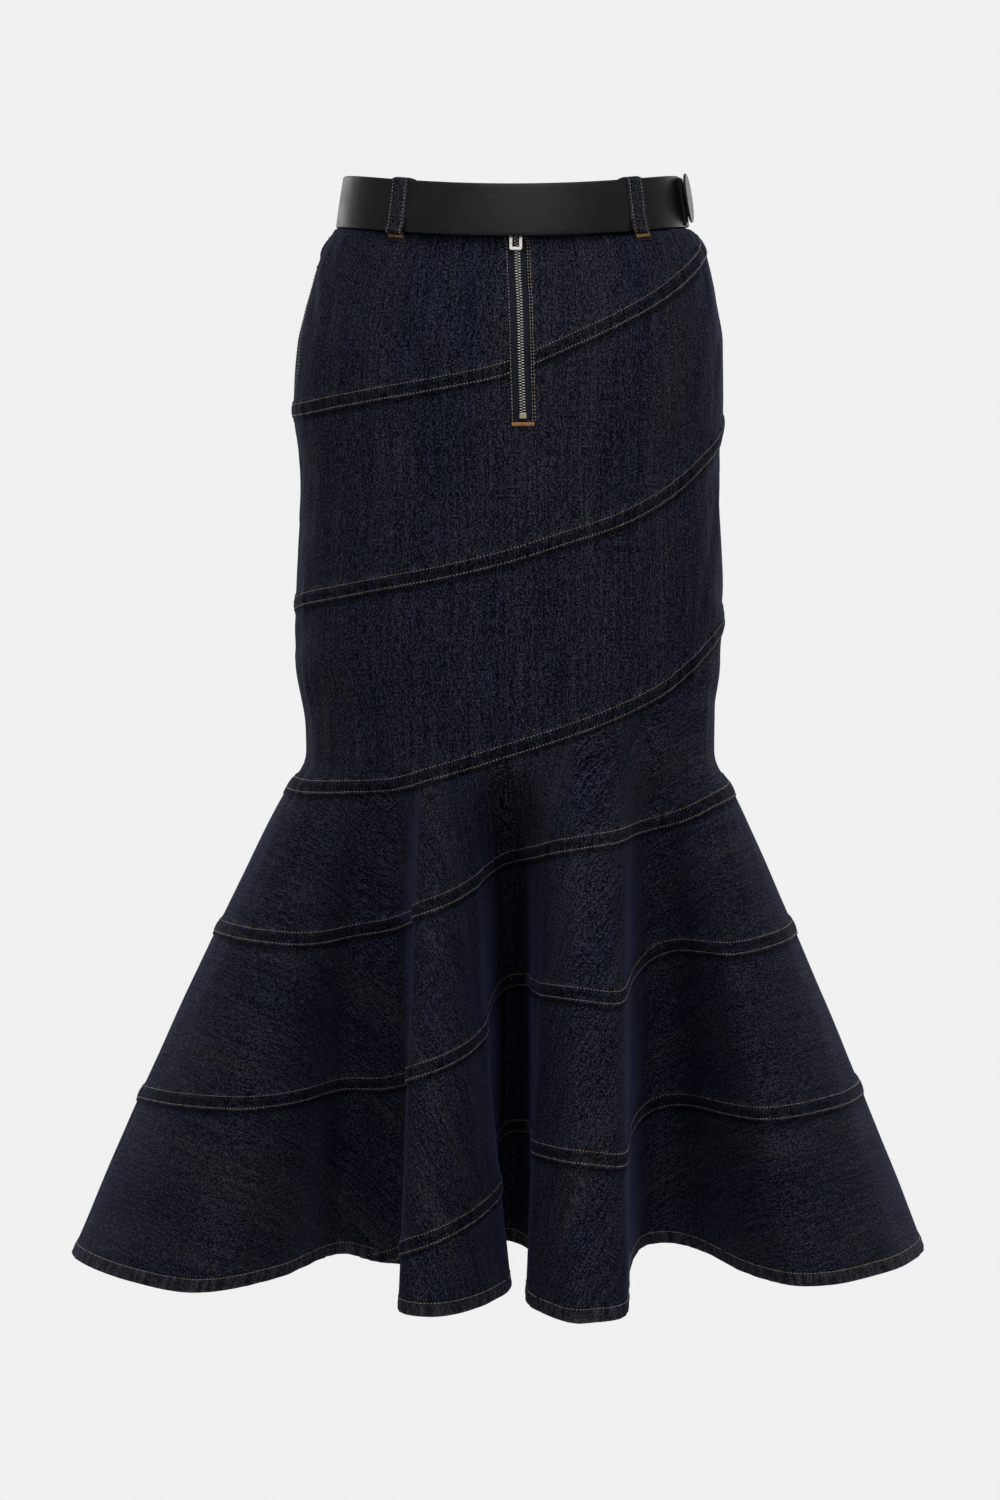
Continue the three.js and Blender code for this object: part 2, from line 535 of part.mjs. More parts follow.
// Zip: tape behind the slot, chain of teeth on it, and the stop at its foot.
function zipStrip(name, half, out, wall, top, bottom, material) {
  const heights = [top, ...zip.bends.filter((z) => z < top - 2 && z > bottom + 2), bottom];
  const rows = heights.map((z) => [-1, 0, 1].map((side) => corner(centreAngle(z), z, out, wall, side * half || 0)));
  add(name, wallGeometry(rows), material);
}
const zipTop = fromLevel(90, zip.top);
zipStrip("zip_tape", zip.tapeHalf, -zip.behind, zip.tapeWall, zipTop, zip.bottom - 8, tapeCloth);
const stopTop = zip.bottom + 1.4 + zip.stopHeight;
zipStrip("zip_chain", zip.chainHalf, zip.chainFront, zip.chainFront + zip.behind - cloth.gap, zipTop - 2,
  stopTop + cloth.gap, steel);
zipStrip("zip_stop", zip.stopHalf, zip.chainFront + 0.3, 1.6, stopTop, stopTop - zip.stopHeight, brass);

// Slider, its bridge and the pull tab stand on the chain; the tab hangs down against the teeth.
const zipFrame = (level, out, rollUp = 0) => {
  const z = fromLevel(90, level);
  const { p, normal } = frame(centreAngle(z), z);
  const tilt = Math.atan2(normal.z, -normal.y) + rollUp;
  return new THREE.Matrix4().makeTranslation(...p.addScaledVector(normal, out).toArray())
    .multiply(new THREE.Matrix4().makeRotationX(Math.PI / 2 - tilt));
};
const plate = (points, thick, holes = []) => {
  const shape = new THREE.Shape(points.map(([x, y]) => new THREE.Vector2(x, y)));
  for (const hole of holes) shape.holes.push(new THREE.Path(hole.map(([x, y]) => new THREE.Vector2(x, y))));
  return new THREE.ExtrudeGeometry(shape, { depth: thick, bevelEnabled: false });
};
const sliderLevel = slider.topLevel - slider.height;
const mirrored = (right) => [...right, ...right.map(([x, y]) => [-x, y]).reverse()];
const sliderRight = [
  [slider.waist / 2, 0], [slider.width / 2, slider.height * 0.55], [slider.width * 0.4, slider.height],
];
add("zip_slider", plate(mirrored(sliderRight), slider.thick).applyMatrix4(zipFrame(sliderLevel, slider.back)), steel);

const bridgeBack = slider.back + slider.thick + cloth.gap;
const bridgeSide = [
  [0, 0], [0, bridge.rise + bridge.roof], [bridge.height, bridge.rise + bridge.roof], [bridge.height, 0],
  [bridge.height - bridge.leg, 0], [bridge.height - bridge.leg, bridge.rise],
  [bridge.leg, bridge.rise], [bridge.leg, 0],
];
const standing = new THREE.Matrix4().makeBasis(
  new THREE.Vector3(0, 1, 0), new THREE.Vector3(0, 0, 1), new THREE.Vector3(1, 0, 0));
add("zip_slider_bridge", plate(bridgeSide, bridge.width).applyMatrix4(standing)
  .applyMatrix4(new THREE.Matrix4().makeTranslation(-bridge.width / 2, 2.4, 0))
  .applyMatrix4(zipFrame(sliderLevel, bridgeBack)), steel);

const pullTop = 2.4 + bridge.height - bridge.leg - 0.4;
const pullHalf = pull.width / 2, pullFoot = -pull.length;
const pullRight = [
  [pullHalf - pull.round, pullFoot], [pullHalf, pullFoot + pull.round], [pullHalf, -pull.eye - 8],
  [pull.neck / 2, -pull.eye - 5], [pull.neck / 2, 0],
];
const box = (half, bottom, top) => mirrored([[half, bottom], [half, top]]);
add("zip_pull", plate(mirrored(pullRight), pull.thick, [
  box(pull.eyeWidth / 2, -pull.eye - 1.5, -1.5),
  box(pullHalf - pull.margin, pullFoot + pull.margin, -pull.windowTop),
]).applyMatrix4(new THREE.Matrix4().makeRotationX(-pull.tilt))
  .applyMatrix4(new THREE.Matrix4().makeTranslation(0, pullTop, bridge.rise / 2 - pull.thick / 2))
  .applyMatrix4(zipFrame(sliderLevel, bridgeBack - cloth.gap)), steel);

// The strip that shows through the pocket's mouth.
const pocketHeights = even(pocket.top + 8, pocket.bottom + 8, 4);
add("pocket_facing", wallGeometry(pocketHeights.map((z) => even(pocket.from, pocket.to, 4)
  .map((angle) => corner(angle, z, -pocket.behind, cloth.wall)))), facing);

export default skirt;
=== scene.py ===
import math

import bpy
import numpy as np
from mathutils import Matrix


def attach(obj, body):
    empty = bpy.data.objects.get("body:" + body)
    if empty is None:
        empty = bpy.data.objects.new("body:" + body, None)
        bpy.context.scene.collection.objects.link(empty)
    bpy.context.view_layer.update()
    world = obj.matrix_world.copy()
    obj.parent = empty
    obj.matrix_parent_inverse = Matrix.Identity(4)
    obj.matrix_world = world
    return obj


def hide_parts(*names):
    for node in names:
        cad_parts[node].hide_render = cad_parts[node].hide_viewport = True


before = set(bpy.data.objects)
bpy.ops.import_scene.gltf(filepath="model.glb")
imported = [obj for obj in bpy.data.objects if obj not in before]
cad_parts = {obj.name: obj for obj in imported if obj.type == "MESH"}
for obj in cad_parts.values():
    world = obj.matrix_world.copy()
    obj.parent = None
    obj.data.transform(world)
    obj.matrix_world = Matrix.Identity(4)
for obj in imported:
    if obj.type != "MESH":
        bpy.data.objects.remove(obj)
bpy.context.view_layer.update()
body, tabBody = "skirt", "pull_tab"

# Sizes are in millimetres and become metres in makeMesh. The waist mount is the origin, the front looks along -Y.
# An angle of 0 is the left of the picture, 90 the centre front, 180 the right and 270 the centre back.
cloth = {"wall": 1.2, "gap": 0.3, "lapEdge": 5.9, "stitchLine": 4.3, "hemFold": 10.5, "hemLine": 9.4, "hemWall": 2.0}
levels = {"knee": -418, "hem": -818, "soft": 0.05}
dip = {"front": 12, "back": 5, "fadeFrom": -50, "fadeTo": -150}
columnCount = {"upper": 150, "flare": 300}

# Level under the waistline, half width, shift to the right, front depth, back depth.
tubeRows = np.array([
    (22, 125.4, 0.2, 86, 90), (-15.5, 131.1, 0.2, 89.4, 92.9), (-17.5, 132, 0.3, 89.8, 93.2),
    (-18.1, 136.2, 0.9, 90.5, 94.3), (-19.8, 138.4, 1.6, 91.2, 95.3), (-22, 139.9, 1.9, 91.9, 96.5),
    (-25, 141.7, 2.1, 92.7, 98), (-30, 144.7, 2, 94, 100.3), (-35, 147.4, 1.8, 95.5, 102.5),
    (-60, 154.5, 1.5, 102, 113), (-80, 159.5, 0.5, 107, 120),
    (-105, 164, -1, 112, 127), (-150, 166, -2, 115.5, 134), (-215, 162, -1, 116, 135), (-300, 165.5, -1, 117, 129),
    (-345, 165.5, -2.5, 117, 124), (-402, 159, -1, 115.5, 120), (-450, 158.5, 0.5, 115, 118),
], float)

# Angle, place at the hem across and in depth, lift of the hem, share of the way out at half height.
foldRows = np.array([
    (0, -343, -5, 0, 0.528), (14, -290, -100, 0, 0.52), (26, -232, -142, 0, 0.5), (37, -176, -92, 1.5, 0.52),
    (46, -134, -15, 4, 0.56), (53, -103, -30, 1, 0.56), (59, -76, -60, 0, 0.56), (62.5, -72, -130, 0, 0.56),
    (65.5, -83, -205, 0, 0.55), (69, -52, -226, 0, 0.55), (72, -22, -190, 0, 0.52), (74.6, -2, -135, 0, 0.46),
    (80, -14, -60, 4, 0.66), (88, -4, 8, 10, 0.95), (93, 14, -22, 8, 0.92), (98.5, 15, -100, 4, 0.62),
    (103.5, 12.5, -187, 0, 0.53), (107, 35, -238, 0, 0.53), (113, 62, -245, 0, 0.54), (119, 83, -222, 0, 0.55),
    (122, 86, -190, 0, 0.55), (125.5, 91, -72, 3, 0.58), (129, 101, -8, 6, 0.6), (133.5, 120, 14, 7, 0.6),
    (139, 148, -6, 5, 0.56), (144, 175, -62, 1, 0.52), (151, 209, -114, 0, 0.5), (158, 242, -114, 0, 0.5),
    (165, 274, -84, 0, 0.51), (173, 308, -34, 0, 0.52), (180, 328, 32, 0, 0.52), (188, 312, 95, 0, 0.515),
    (197, 262, 150, 0, 0.5), (206, 205, 158, 0, 0.5), (214, 164, 118, 2, 0.54), (221, 132, 96, 5, 0.56),
    (226, 112, 132, 3, 0.56), (231, 102, 205, 0, 0.55), (237, 80, 248, 0, 0.55), (244, 48, 256, 0, 0.55),
    (250, 22, 222, 0, 0.55), (254, 10, 160, 2, 0.56), (260, -8, 104, 6, 0.6), (267, -28, 122, 5, 0.6),
    (272, -38, 190, 1, 0.56), (278, -62, 252, 0, 0.55), (285, -98, 258, 0, 0.55), (291, -122, 218, 0, 0.55),
    (296, -134, 146, 2, 0.56), (303, -158, 92, 5, 0.56), (311, -190, 98, 3, 0.54), (319, -226, 138, 0, 0.5),
    (329, -272, 140, 0, 0.5), (341, -320, 92, 0, 0.52), (351, -342, 40, 0, 0.528),
], float)

# Heights of the spiral seams at these angles; those of the back run between two ends with a sag.
seams = {
    "angles": [0, 20, 40, 57, 72, 90, 105, 120, 135, 155, 180],
    "turns": [0, 0, 0, 0, -1.6, -1.2, 2, 2, 0, 0, 0],
    "shares": [0, 0, 0, 0.25, 0.5, 0.9],
    "front": [
        [-157, -156, -151, -145, -138.5, -127, -108.5, -90, -71.5, -48, -28],
        [-307, -301, -294.5, -287, -279.5, -267, -253.5, -240.5, -223, -195.5, -168],
        [-445, -445.5, -443, -439, -427.5, -412, -399, -385, -368.5, -340.5, -316],
        [-557, -557.5, -557, -546, -520, -498, -483, -476.5, -470, -456.5, -449],
        [-688, -681, -677, -670, -634, -600, -588.5, -592, -570, -566, -559],
        [-875, -856, -830, -806, -755, -719, -703, -708, -693.5, -689.5, -687],
    ],
    "back": [(-29.5, -168, 16), (-157, -316, 16), (-307, -449, 14), (-445, -559, 8), (-557, -687, 0), (-688, -860, 0)],
}


# A cubic line through knots; the slope at each comes from both neighbours, with no overshoot if steady.
def curveOf(knots, values, period=0, steady=False):
    x, v = np.array(knots, float), np.array(values, float)
    if period:
        x = np.concatenate([x[-2:] - period, x, x[:2] + period])
        v = np.concatenate([v[-2:], v, v[:2]])
    h, s = np.diff(x), np.diff(v) / np.diff(x)
    slope = np.concatenate([s[:1], np.zeros(len(x) - 2), s[-1:]])
    if steady:
        same = s[:-1] * s[1:] > 0
        slope[1:-1] = np.where(same, 2 * s[:-1] * s[1:] / np.where(same, s[:-1] + s[1:], 1), 0)
    else:
        slope[1:-1] = (s[:-1] * h[1:] + s[1:] * h[:-1]) / (h[:-1] + h[1:])

    def at(t):
        t = np.mod(t, period) if period else np.clip(t, x[0], x[-1])
        k = np.clip(np.searchsorted(x, t, side="right") - 1, 0, len(x) - 2)
        u = (t - x[k]) / h[k]
        return ((2 * u**3 - 3 * u**2 + 1) * v[k] + (u**3 - 2 * u**2 + u) * h[k] * slope[k]
                + (3 * u**2 - 2 * u**3) * v[k + 1] + (u**3 - u**2) * h[k] * slope[k + 1])
    return at


tubeHalf, tubeShift, tubeFront, tubeBack = [
    curveOf(-tubeRows[:, 0], tubeRows[:, k], steady=True) for k in range(1, 5)]
foldX, foldY, foldLift, foldHalf = [curveOf(foldRows[:, 0], foldRows[:, k], period=360) for k in range(1, 5)]


def smooth(v):
    u = np.clip(v, 0, 1)
    return u * u * (3 - 2 * u)


def bell(v, width):
    return np.exp(-(v / width) ** 2)


def unit(v):
    return v / np.maximum(np.linalg.norm(v, axis=-1, keepdims=True), 1e-12)


def dipAt(angle):
    s = np.sin(np.radians(angle))
    return np.where(s > 0, dip["front"], dip["back"]) * s * s


def hemAt(angle):
    return levels["hem"] + foldLift(angle)


def waistSeam(angle):
    return -15.8 - dipAt(angle)


# Above the knee: x = shift - half width * cos, y = -depth * sin, at the level under the dipped waistline.
def tubePoint(angle, z):
    down = -(z + dipAt(angle) * smooth((z - dip["fadeTo"]) / (dip["fadeFrom"] - dip["fadeTo"])))
    c, s = np.cos(np.radians(angle)), np.sin(np.radians(angle))
    depth = np.where(s > 0, tubeFront(down), tubeBack(down))
    return tubeShift(down) - tubeHalf(down) * c, -depth * s


# Below it: place = knee + out * (hem - knee), where out = e(4 half - 1) + e^2(2 - 4 half) and e starts softly.
def surface(angle, z):
    angle, z = np.broadcast_arrays(np.asarray(angle, float), np.asarray(z, float))
    x, y = tubePoint(angle, z)
    kneeX, kneeY = tubePoint(angle, np.full(z.shape, float(levels["knee"])))
    share = np.maximum(0, (levels["knee"] - z) / (levels["knee"] - hemAt(angle)))
    e = share * (1 - bell(share, levels["soft"]))
    half = foldHalf(angle)
    out = e * (4 * half - 1) + e * e * (2 - 4 * half)
    low = z < levels["knee"] + 1
    x = np.where(low, kneeX + out * (foldX(angle) - kneeX), x)
    y = np.where(low, kneeY + out * (foldY(angle) - kneeY), y)
    return np.stack([x, y, z], -1)


# Outward normal, and how many millimetres one degree is.
def normals(angle, z):
    across = surface(angle + 0.15, z) - surface(angle - 0.15, z)
    up = surface(angle, z + 0.5) - surface(angle, z - 0.5)
    return unit(np.cross(across, up)), np.linalg.norm(across, axis=-1) / 0.3


# Soft creases of the upper half: angle, height, run to the right and up in mm, width, depth.
creaseRows = np.array([
    (14, -70, 30, -30, 7, 1.4), (24, -60, 26, -48, 8, 1.1), (40, -52, 12, -34, 7, 0.9),
    (62, -48, 8, -30, 7, 0.8), (118, -50, -8, -28, 7, 0.8), (143, -52, -16, -34, 7, 1.0),
    (160, -66, -24, -36, 7, 1.3), (170, -100, -26, -30, 8, 1.2), (12, -196, 34, -16, 8, 1.2),
    (10, -250, 40, 12, 9, 1.3), (16, -330, 44, 18, 10, 1.3), (30, -372, 46, 22, 11, 1.2),
    (168, -205, -34, -22, 9, 1.4), (160, -262, -30, -66, 8, 1.3), (171, -300, -38, 16, 9, 1.3),
    (164, -372, -44, 14, 10, 1.3), (96, -190, 6, -44, 10, 0.7), (74, -215, -8, -60, 12, 0.6),
    (50, -225, 4, -66, 12, 0.6), (112, -330, 6, -54, 14, 0.7), (84, -350, -6, -50, 13, 0.7),
    (135, -300, 8, -60, 13, 0.7), (192, -70, 26, -36, 8, 1.3), (215, -58, 10, -36, 8, 1.0),
    (240, -56, 6, -34, 8, 0.9), (300, -56, -6, -34, 8, 0.9), (325, -58, -12, -36, 8, 1.1),
    (346, -72, -26, -34, 8, 1.3), (200, -210, 40, -20, 9, 1.3), (190, -330, 40, 16, 10, 1.3),
    (344, -215, -40, -18, 9, 1.3), (350, -325, -42, 14, 10, 1.3), (262, -245, 22, -40, 12, 1.2),
    (280, -250, -24, -38, 12, 1.1), (270, -330, 4, -60, 14, 0.8), (232, -320, 6, -60, 13, 0.8),
    (308, -320, -6, -60, 13, 0.8),
], float)


# Each crease = -depth * bell(across / width) * bell(along / run), with a low ridge beside it. They fade at the flare.
# The slow unevenness of sewn denim is two crossed sines of a few tenths of a millimetre.
def creases(angle, z):
    total = np.zeros(np.broadcast(angle, z).shape)
    for a, height, runX, runZ, width, depth in creaseRows:
        dx, dz = (angle - a) * 2.55, z - height
        run = math.hypot(runX, runZ)
        along, across = (dx * runX + dz * runZ) / run, (dz * runX - dx * runZ) / run
        total += (0.45 * depth * bell(across - 1.7 * width, width) - depth * bell(across, width)) * bell(along, run)
    slow = (0.28 * np.sin(angle * 0.42 + z * 0.031) * np.sin(z * 0.022 - angle * 0.11)
            + 0.2 * np.sin(angle * 0.93 - z * 0.05 + 1.3) * np.sin(z * 0.041 + angle * 0.07))
    return total * smooth((z + 440) / 60) + slow


# A seam or the hem as a line: its height, how far along it an angle is, and height per mm square to it.
def sewnLine(height, a0, a1):
    angles = np.linspace(a0, a1, 1441)
    heights = height(angles)
    steps = np.diff(surface(angles, heights), axis=0)
    arc = np.concatenate([[0], np.cumsum(np.linalg.norm(steps, axis=1))])
    level = np.linalg.norm(steps[:, :2], axis=1)
    steep = np.sqrt(1 + np.minimum(np.abs(steps[:, 2]) / np.maximum(level, 1e-6), 1.1) ** 2)
    steep = np.convolve(np.pad(np.append(steep, steep[-1]), 20, mode="edge"), np.ones(41) / 41, "valid")
    return {
        "z": height, "angles": angles, "arcs": arc,
        "arc": lambda a: np.interp(a, angles, arc), "steep": lambda a: np.interp(a, angles, steep),
    }


def backHeight(k):
    left, right, sag = seams["back"][k]
    return lambda a: left + (right - left) * (360 - a) / 180 - sag * np.sin(np.pi * (360 - a) / 180)


halves = {"front": (0.0, 180.0), "back": (180.0, 360.0)}
knots = [np.array(seams["angles"]) + share * np.array(seams["turns"]) for share in seams["shares"]]
frontSeams = [sewnLine(curveOf(angles, row), 0, 180) for angles, row in zip(knots, seams["front"])]
backSeams = [sewnLine(backHeight(k), 180, 360) for k in range(6)]
seamSets = {"front": frontSeams, "back": backSeams}
waistLines = {half: sewnLine(waistSeam, *ends) for half, ends in halves.items()}
hemLines = {half: sewnLine(hemAt, *ends) for half, ends in halves.items()}

# Height of the lap over the cloth, by distance above the seam's middle line: furrows at the two stitched lines.
lapProfile = np.array([
    (-5.9, 0.75), (-5.6, 1.15), (-5.1, 1.32), (-4.3, 1.02), (-3.5, 1.42), (-2.2, 1.72), (-0.6, 1.82), (1.0, 1.8),
    (2.4, 1.68), (3.5, 1.4), (4.3, 0.98), (5.1, 1.3), (5.8, 1.2), (6.5, 0.8), (7.4, 0.35), (8.6, 0.1), (10.5, 0),
])
lapHeight = curveOf(lapProfile[:, 0], lapProfile[:, 1])
edgeSteps = cloth["lapEdge"] + lapProfile[::-1, 0]


# Puckers run across the stitching: two waves along the seam, bell-shaped away from each stitched line.
def pucker(arc, v, size=0.34):
    near = bell(np.abs(v) - cloth["stitchLine"], 4.6)
    wave = (0.55 * np.sin(arc * 0.52 + 1.1 * np.sin(arc * 0.043) + v * 0.16)
            + 0.45 * np.sin(arc * 0.31 + 2.0 * np.sin(arc * 0.027) - v * 0.1))
    return size * near * wave * (0.65 + 0.35 * np.sin(arc * 0.017 + 1.7))


# The hem: a turned fold with one furrow of stitching, and slanting roping below it.
def hemForm(arc, above):
    fold = 0.5 * smooth((cloth["hemFold"] + 1.5 - above) / 2.5) - 0.35 * bell(above - cloth["hemLine"], 1.1)
    roping = 0.35 * np.sin(arc * 0.6 + above * 0.5 + 1.5 * np.sin(arc * 0.05)) * smooth((cloth["hemLine"] - above) / 4)
    return fold + roping - 0.45 * smooth((1.2 - above) / 1.2)


def lapIn(v):
    return 1.5 * smooth((8.8 - v) / 3.9)


# What the surface stands out by, from everything that is sewn into it.
def reliefOf(half, upper, lower, angle, z):
    total = creases(angle, z)
    hem = hemLines[half]
    above = z - hem["z"](angle)
    total = total + hemForm(hem["arc"](angle), above) * (above < 40)
    total = total + pucker(hem["arc"](angle), above - cloth["hemLine"] + cloth["stitchLine"], 0.4)
    for line in (upper, lower):
        if line is not None:
            total = total + pucker(line["arc"](angle), (z - line["z"](angle)) / line["steep"](angle))
    return total


def metres(points):
    return np.ascontiguousarray(points, dtype=float) / 1000


def makeMesh(name, points, faces, material, attributes=None, sharp=55):
    mesh = bpy.data.meshes.new(name)
    mesh.from_pydata(metres(points).tolist(), [], np.asarray(faces).tolist())
    mesh.shade_smooth()
    mesh.set_sharp_from_angle(angle=math.radians(sharp))
    for key, values in (attributes or {}).items():
        kind, field = ("FLOAT_VECTOR", "vector") if values.ndim == 2 else ("FLOAT", "value")
        mesh.attributes.new(key, kind, "POINT").data.foreach_set(field, values.astype(np.float32).ravel())
    mesh.materials.append(material)
    piece = bpy.data.objects.new(name, mesh)
    bpy.context.scene.collection.objects.link(piece)
    return piece


# Faces of a closed wall: outer sheet, inner sheet and rims. Rows run down, columns to the right.
def wallFaces(rows, cols, ring):
    ids = np.arange(rows * cols).reshape(rows, cols)
    ids = np.hstack([ids, ids[:, :1]]) if ring else ids
    n = rows * cols
    outer = np.stack([ids[:-1, :-1], ids[1:, :-1], ids[1:, 1:], ids[:-1, 1:]], -1).reshape(-1, 4)
    parts = [outer, outer[:, ::-1] + n,
             np.stack([ids[0, :-1], ids[0, 1:], ids[0, 1:] + n, ids[0, :-1] + n], -1),
             np.stack([ids[-1, 1:], ids[-1, :-1], ids[-1, :-1] + n, ids[-1, 1:] + n], -1)]
    if not ring:
        parts += [np.stack([ids[:-1, 0], ids[:-1, 0] + n, ids[1:, 0] + n, ids[1:, 0]], -1),
                  np.stack([ids[:-1, -1], ids[1:, -1], ids[1:, -1] + n, ids[:-1, -1] + n], -1)]
    return np.vstack(parts)


def makeWall(name, outer, inner, material, attributes=None, ring=False, sharp=55):
    rows, cols = outer.shape[:2]
    both = {key: np.concatenate([values.reshape(rows * cols, *values.shape[2:])] * 2)
            for key, values in (attributes or {}).items()}
    both["inside"] = np.repeat([0.0, 1.0], rows * cols)
    points = np.vstack([outer.reshape(-1, 3), inner.reshape(-1, 3)])
    return makeMesh(name, points, wallFaces(rows, cols, ring), material, both, sharp)


def stands(piece, slot, *nodes, on=body):
    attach(piece, on)
    if nodes:
        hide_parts(*nodes)
    return piece


# A Principled material and a helper that adds nodes by name.
class Shading:
    def __init__(self, name, color, roughness, metallic=0.0, specular=0.5, sheen=0.0,
                 sheenTint=(1, 1, 1), sheenRough=0.5):
        self.material = bpy.data.materials.new(name)
        self.material.use_nodes = True
        self.tree = self.material.node_tree
        self.shader = self.tree.nodes["Principled BSDF"]
        fixed = {"Base Color": (*color, 1), "Roughness": roughness, "Metallic": metallic,
                 "Specular IOR Level": specular, "Sheen Weight": sheen, "Sheen Tint": (*sheenTint, 1),
                 "Sheen Roughness": sheenRough}
        for key, value in fixed.items():
            self.shader.inputs[key].default_value = value

    def put(self, socket, value):
        if isinstance(value, bpy.types.NodeSocket):
            self.tree.links.new(value, socket)
        else:
            socket.default_value = value

    def add(self, kind, values=None, **settings):
        node = self.tree.nodes.new(kind)
        for key, value in settings.items():
            setattr(node, key, value)
        for key, value in (values or {}).items():
            self.put(node.inputs[key], value)
        return node

    def attribute(self, name, output="Fac"):
        return self.add("ShaderNodeAttribute", attribute_name=name).outputs[output]

    def place(self):
        return self.add("ShaderNodeTexCoord").outputs["Object"]

    def noise(self, vector, stretch, detail=2.0, rough=0.55):
        spot = self.add("ShaderNodeMapping", {"Vector": vector, "Scale": stretch})
        values = {"Vector": spot.outputs[0], "Scale": 1.0, "Detail": detail, "Roughness": rough}
        return self.add("ShaderNodeTexNoise", values).outputs[0]

    def math(self, operation, a, b=0.0):
        return self.add("ShaderNodeMath", {0: a, 1: b}, operation=operation).outputs[0]

    def total(self, *terms):
        value = self.math("MULTIPLY", *terms[0])
        for term in terms[1:]:
            value = self.math("ADD", value, self.math("MULTIPLY", *term))
        return value

    def ramp(self, value, low, high, first=0.0, last=1.0):
        values = {"Value": value, "From Min": low, "From Max": high, "To Min": first, "To Max": last}
        return self.add("ShaderNodeMapRange", values, interpolation_type="SMOOTHSTEP").outputs[0]

    def blend(self, share, a, b):
        node = self.add("ShaderNodeMix", data_type="RGBA")
        for socket, value in zip((node.inputs[0], node.inputs[6], node.inputs[7]), (share, a, b)):
            self.put(socket, (*value, 1) if isinstance(value, tuple) else value)
        return node.outputs[2]

    def finish(self, bumps=(), **links):
        before = None
        for height, strength, distance in bumps:
            node = self.add("ShaderNodeBump", {"Height": height, "Strength": strength, "Distance": distance})
            if before:
                self.put(node.inputs["Normal"], before)
            before = node.outputs[0]
        if before:
            self.put(self.shader.inputs["Normal"], before)
        for key, value in links.items():
            self.put(self.shader.inputs[{"color": "Base Color", "roughness": "Roughness"}[key]], value)
        return self.material


# Denim: "grain" is the place on the flat cloth in metres, warp along its second number. The wear and shade attribute
# pales the worn folded edges where it is positive; where it is negative it darkens, a painted shadow just under each
# lap and a darker band between the stitched lines. "inside" shows the undyed weft, and "seam" is the place along and
# across the nearest sewn line, its third number one where the cloth puckers.
def denimMaterial(name, dark, light, brown):
    s = Shading(name, dark, 0.9, specular=0.08, sheen=0.16, sheenTint=(0.36, 0.42, 1.0), sheenRough=0.26)
    grain, seam = s.attribute("grain", "Vector"), s.attribute("seam", "Vector")
    wearAndShade, inside = s.attribute("wearAndShade"), s.attribute("inside")
    stitched = s.add("ShaderNodeSeparateXYZ", {0: seam}).outputs[2]
    speck = s.noise(grain, (1050, 600, 1), 1.5, 0.6)
    warp = s.noise(grain, (900, 150, 1), 2.0, 0.6)
    slub = s.noise(grain, (420, 18, 1), 2.0, 0.55)
    turned = s.add("ShaderNodeMapping", {"Vector": grain, "Rotation": (0, 0, math.radians(62))})
    twill = s.add("ShaderNodeTexWave", {"Vector": turned.outputs[0], "Scale": 330.0, "Distortion": 2.2, "Detail": 2.0},
                  bands_direction="X").outputs["Fac"]
    threads = s.total((speck, 0.55), (warp, 0.30), (slub, 0.15), (s.math("SUBTRACT", twill, 0.5), 0.09))
    cast = s.noise(grain, (26, 3, 1), 3.0, 0.6)
    share = s.total((s.ramp(threads, 0.46, 0.61), 1.0), (s.math("SUBTRACT", cast, 0.5), 0.3))
    color = s.blend(share, dark, s.blend(s.ramp(cast, 0.42, 0.62), light, brown))
    # Painted shade: dark ripples across the stitched zones stand for the shade in the puckers' troughs. With the
    # negative wear (a painted shadow under each lap and a darker band between the lines), they darken the colour
    # towards a third of the dark dye.
    ripple = s.noise(seam, (150, 34, 0), 2.0, 0.55)
    shade = s.math("MULTIPLY", stitched, s.ramp(ripple, 0.36, 0.52, 0.75, 0.0))
    hollow = s.math("MAXIMUM", s.math("MULTIPLY", wearAndShade, -1.0), 0.0)
    color = s.blend(s.math("MAXIMUM", shade, hollow), color, tuple(c * 0.3 for c in dark))
    dab = s.ramp(ripple, 0.46, 0.62, 0.3, 1.0)
    raised = s.math("MAXIMUM", wearAndShade, 0.0)
    worn = s.math("MULTIPLY", raised, s.blend(stitched, (0.7, 0.7, 0.7), dab))
    color = s.blend(s.math("MULTIPLY", worn, s.ramp(threads, 0.38, 0.62, 0.25, 1.0)), color, (0.15, 0.135, 0.14))
    color = s.blend(s.math("MULTIPLY", inside, s.ramp(threads, 0.4, 0.6, 0.6, 1.0)), color, (0.06, 0.066, 0.09))
    lumps = s.noise(grain, (70, 70, 1), 2.0, 0.5)
    weave = s.total((twill, 0.4), (threads, 1.2))
    return s.finish([(weave, 0.5, 0.0004), (lumps, 0.2, 0.0012)], color=color)


def threadMaterial(name, color, pale):
    s = Shading(name, color, 0.6, specular=0.35, sheen=0.2)
    fleck = s.noise(s.place(), (130, 130, 130), 2.0, 0.6)
    twist = s.noise(s.place(), (2600, 2600, 2600), 1.0)
    return s.finish([(twist, 0.3, 0.0002)], color=s.blend(s.ramp(fleck, 0.38, 0.58), color, pale))


def leatherMaterial(name):
    s = Shading(name, (0.009, 0.009, 0.010), 0.4, specular=0.4)
    place = s.place()
    cells = s.add("ShaderNodeTexVoronoi", {"Vector": place, "Scale": 900.0}, feature="F1").outputs["Distance"]
    cloud = s.noise(place, (38, 38, 60), 4.0, 0.6)
    fine = s.noise(place, (1500, 1500, 1500), 2.0)
    return s.finish([(s.total((cells, 1.0), (fine, 0.4)), 0.12, 0.0004), (cloud, 0.10, 0.004)],
                    color=s.blend(s.ramp(cloud, 0.3, 0.75), (0.007, 0.007, 0.0082), (0.012, 0.012, 0.0135)),
                    roughness=s.ramp(cloud, 0.25, 0.75, 0.36, 0.47))


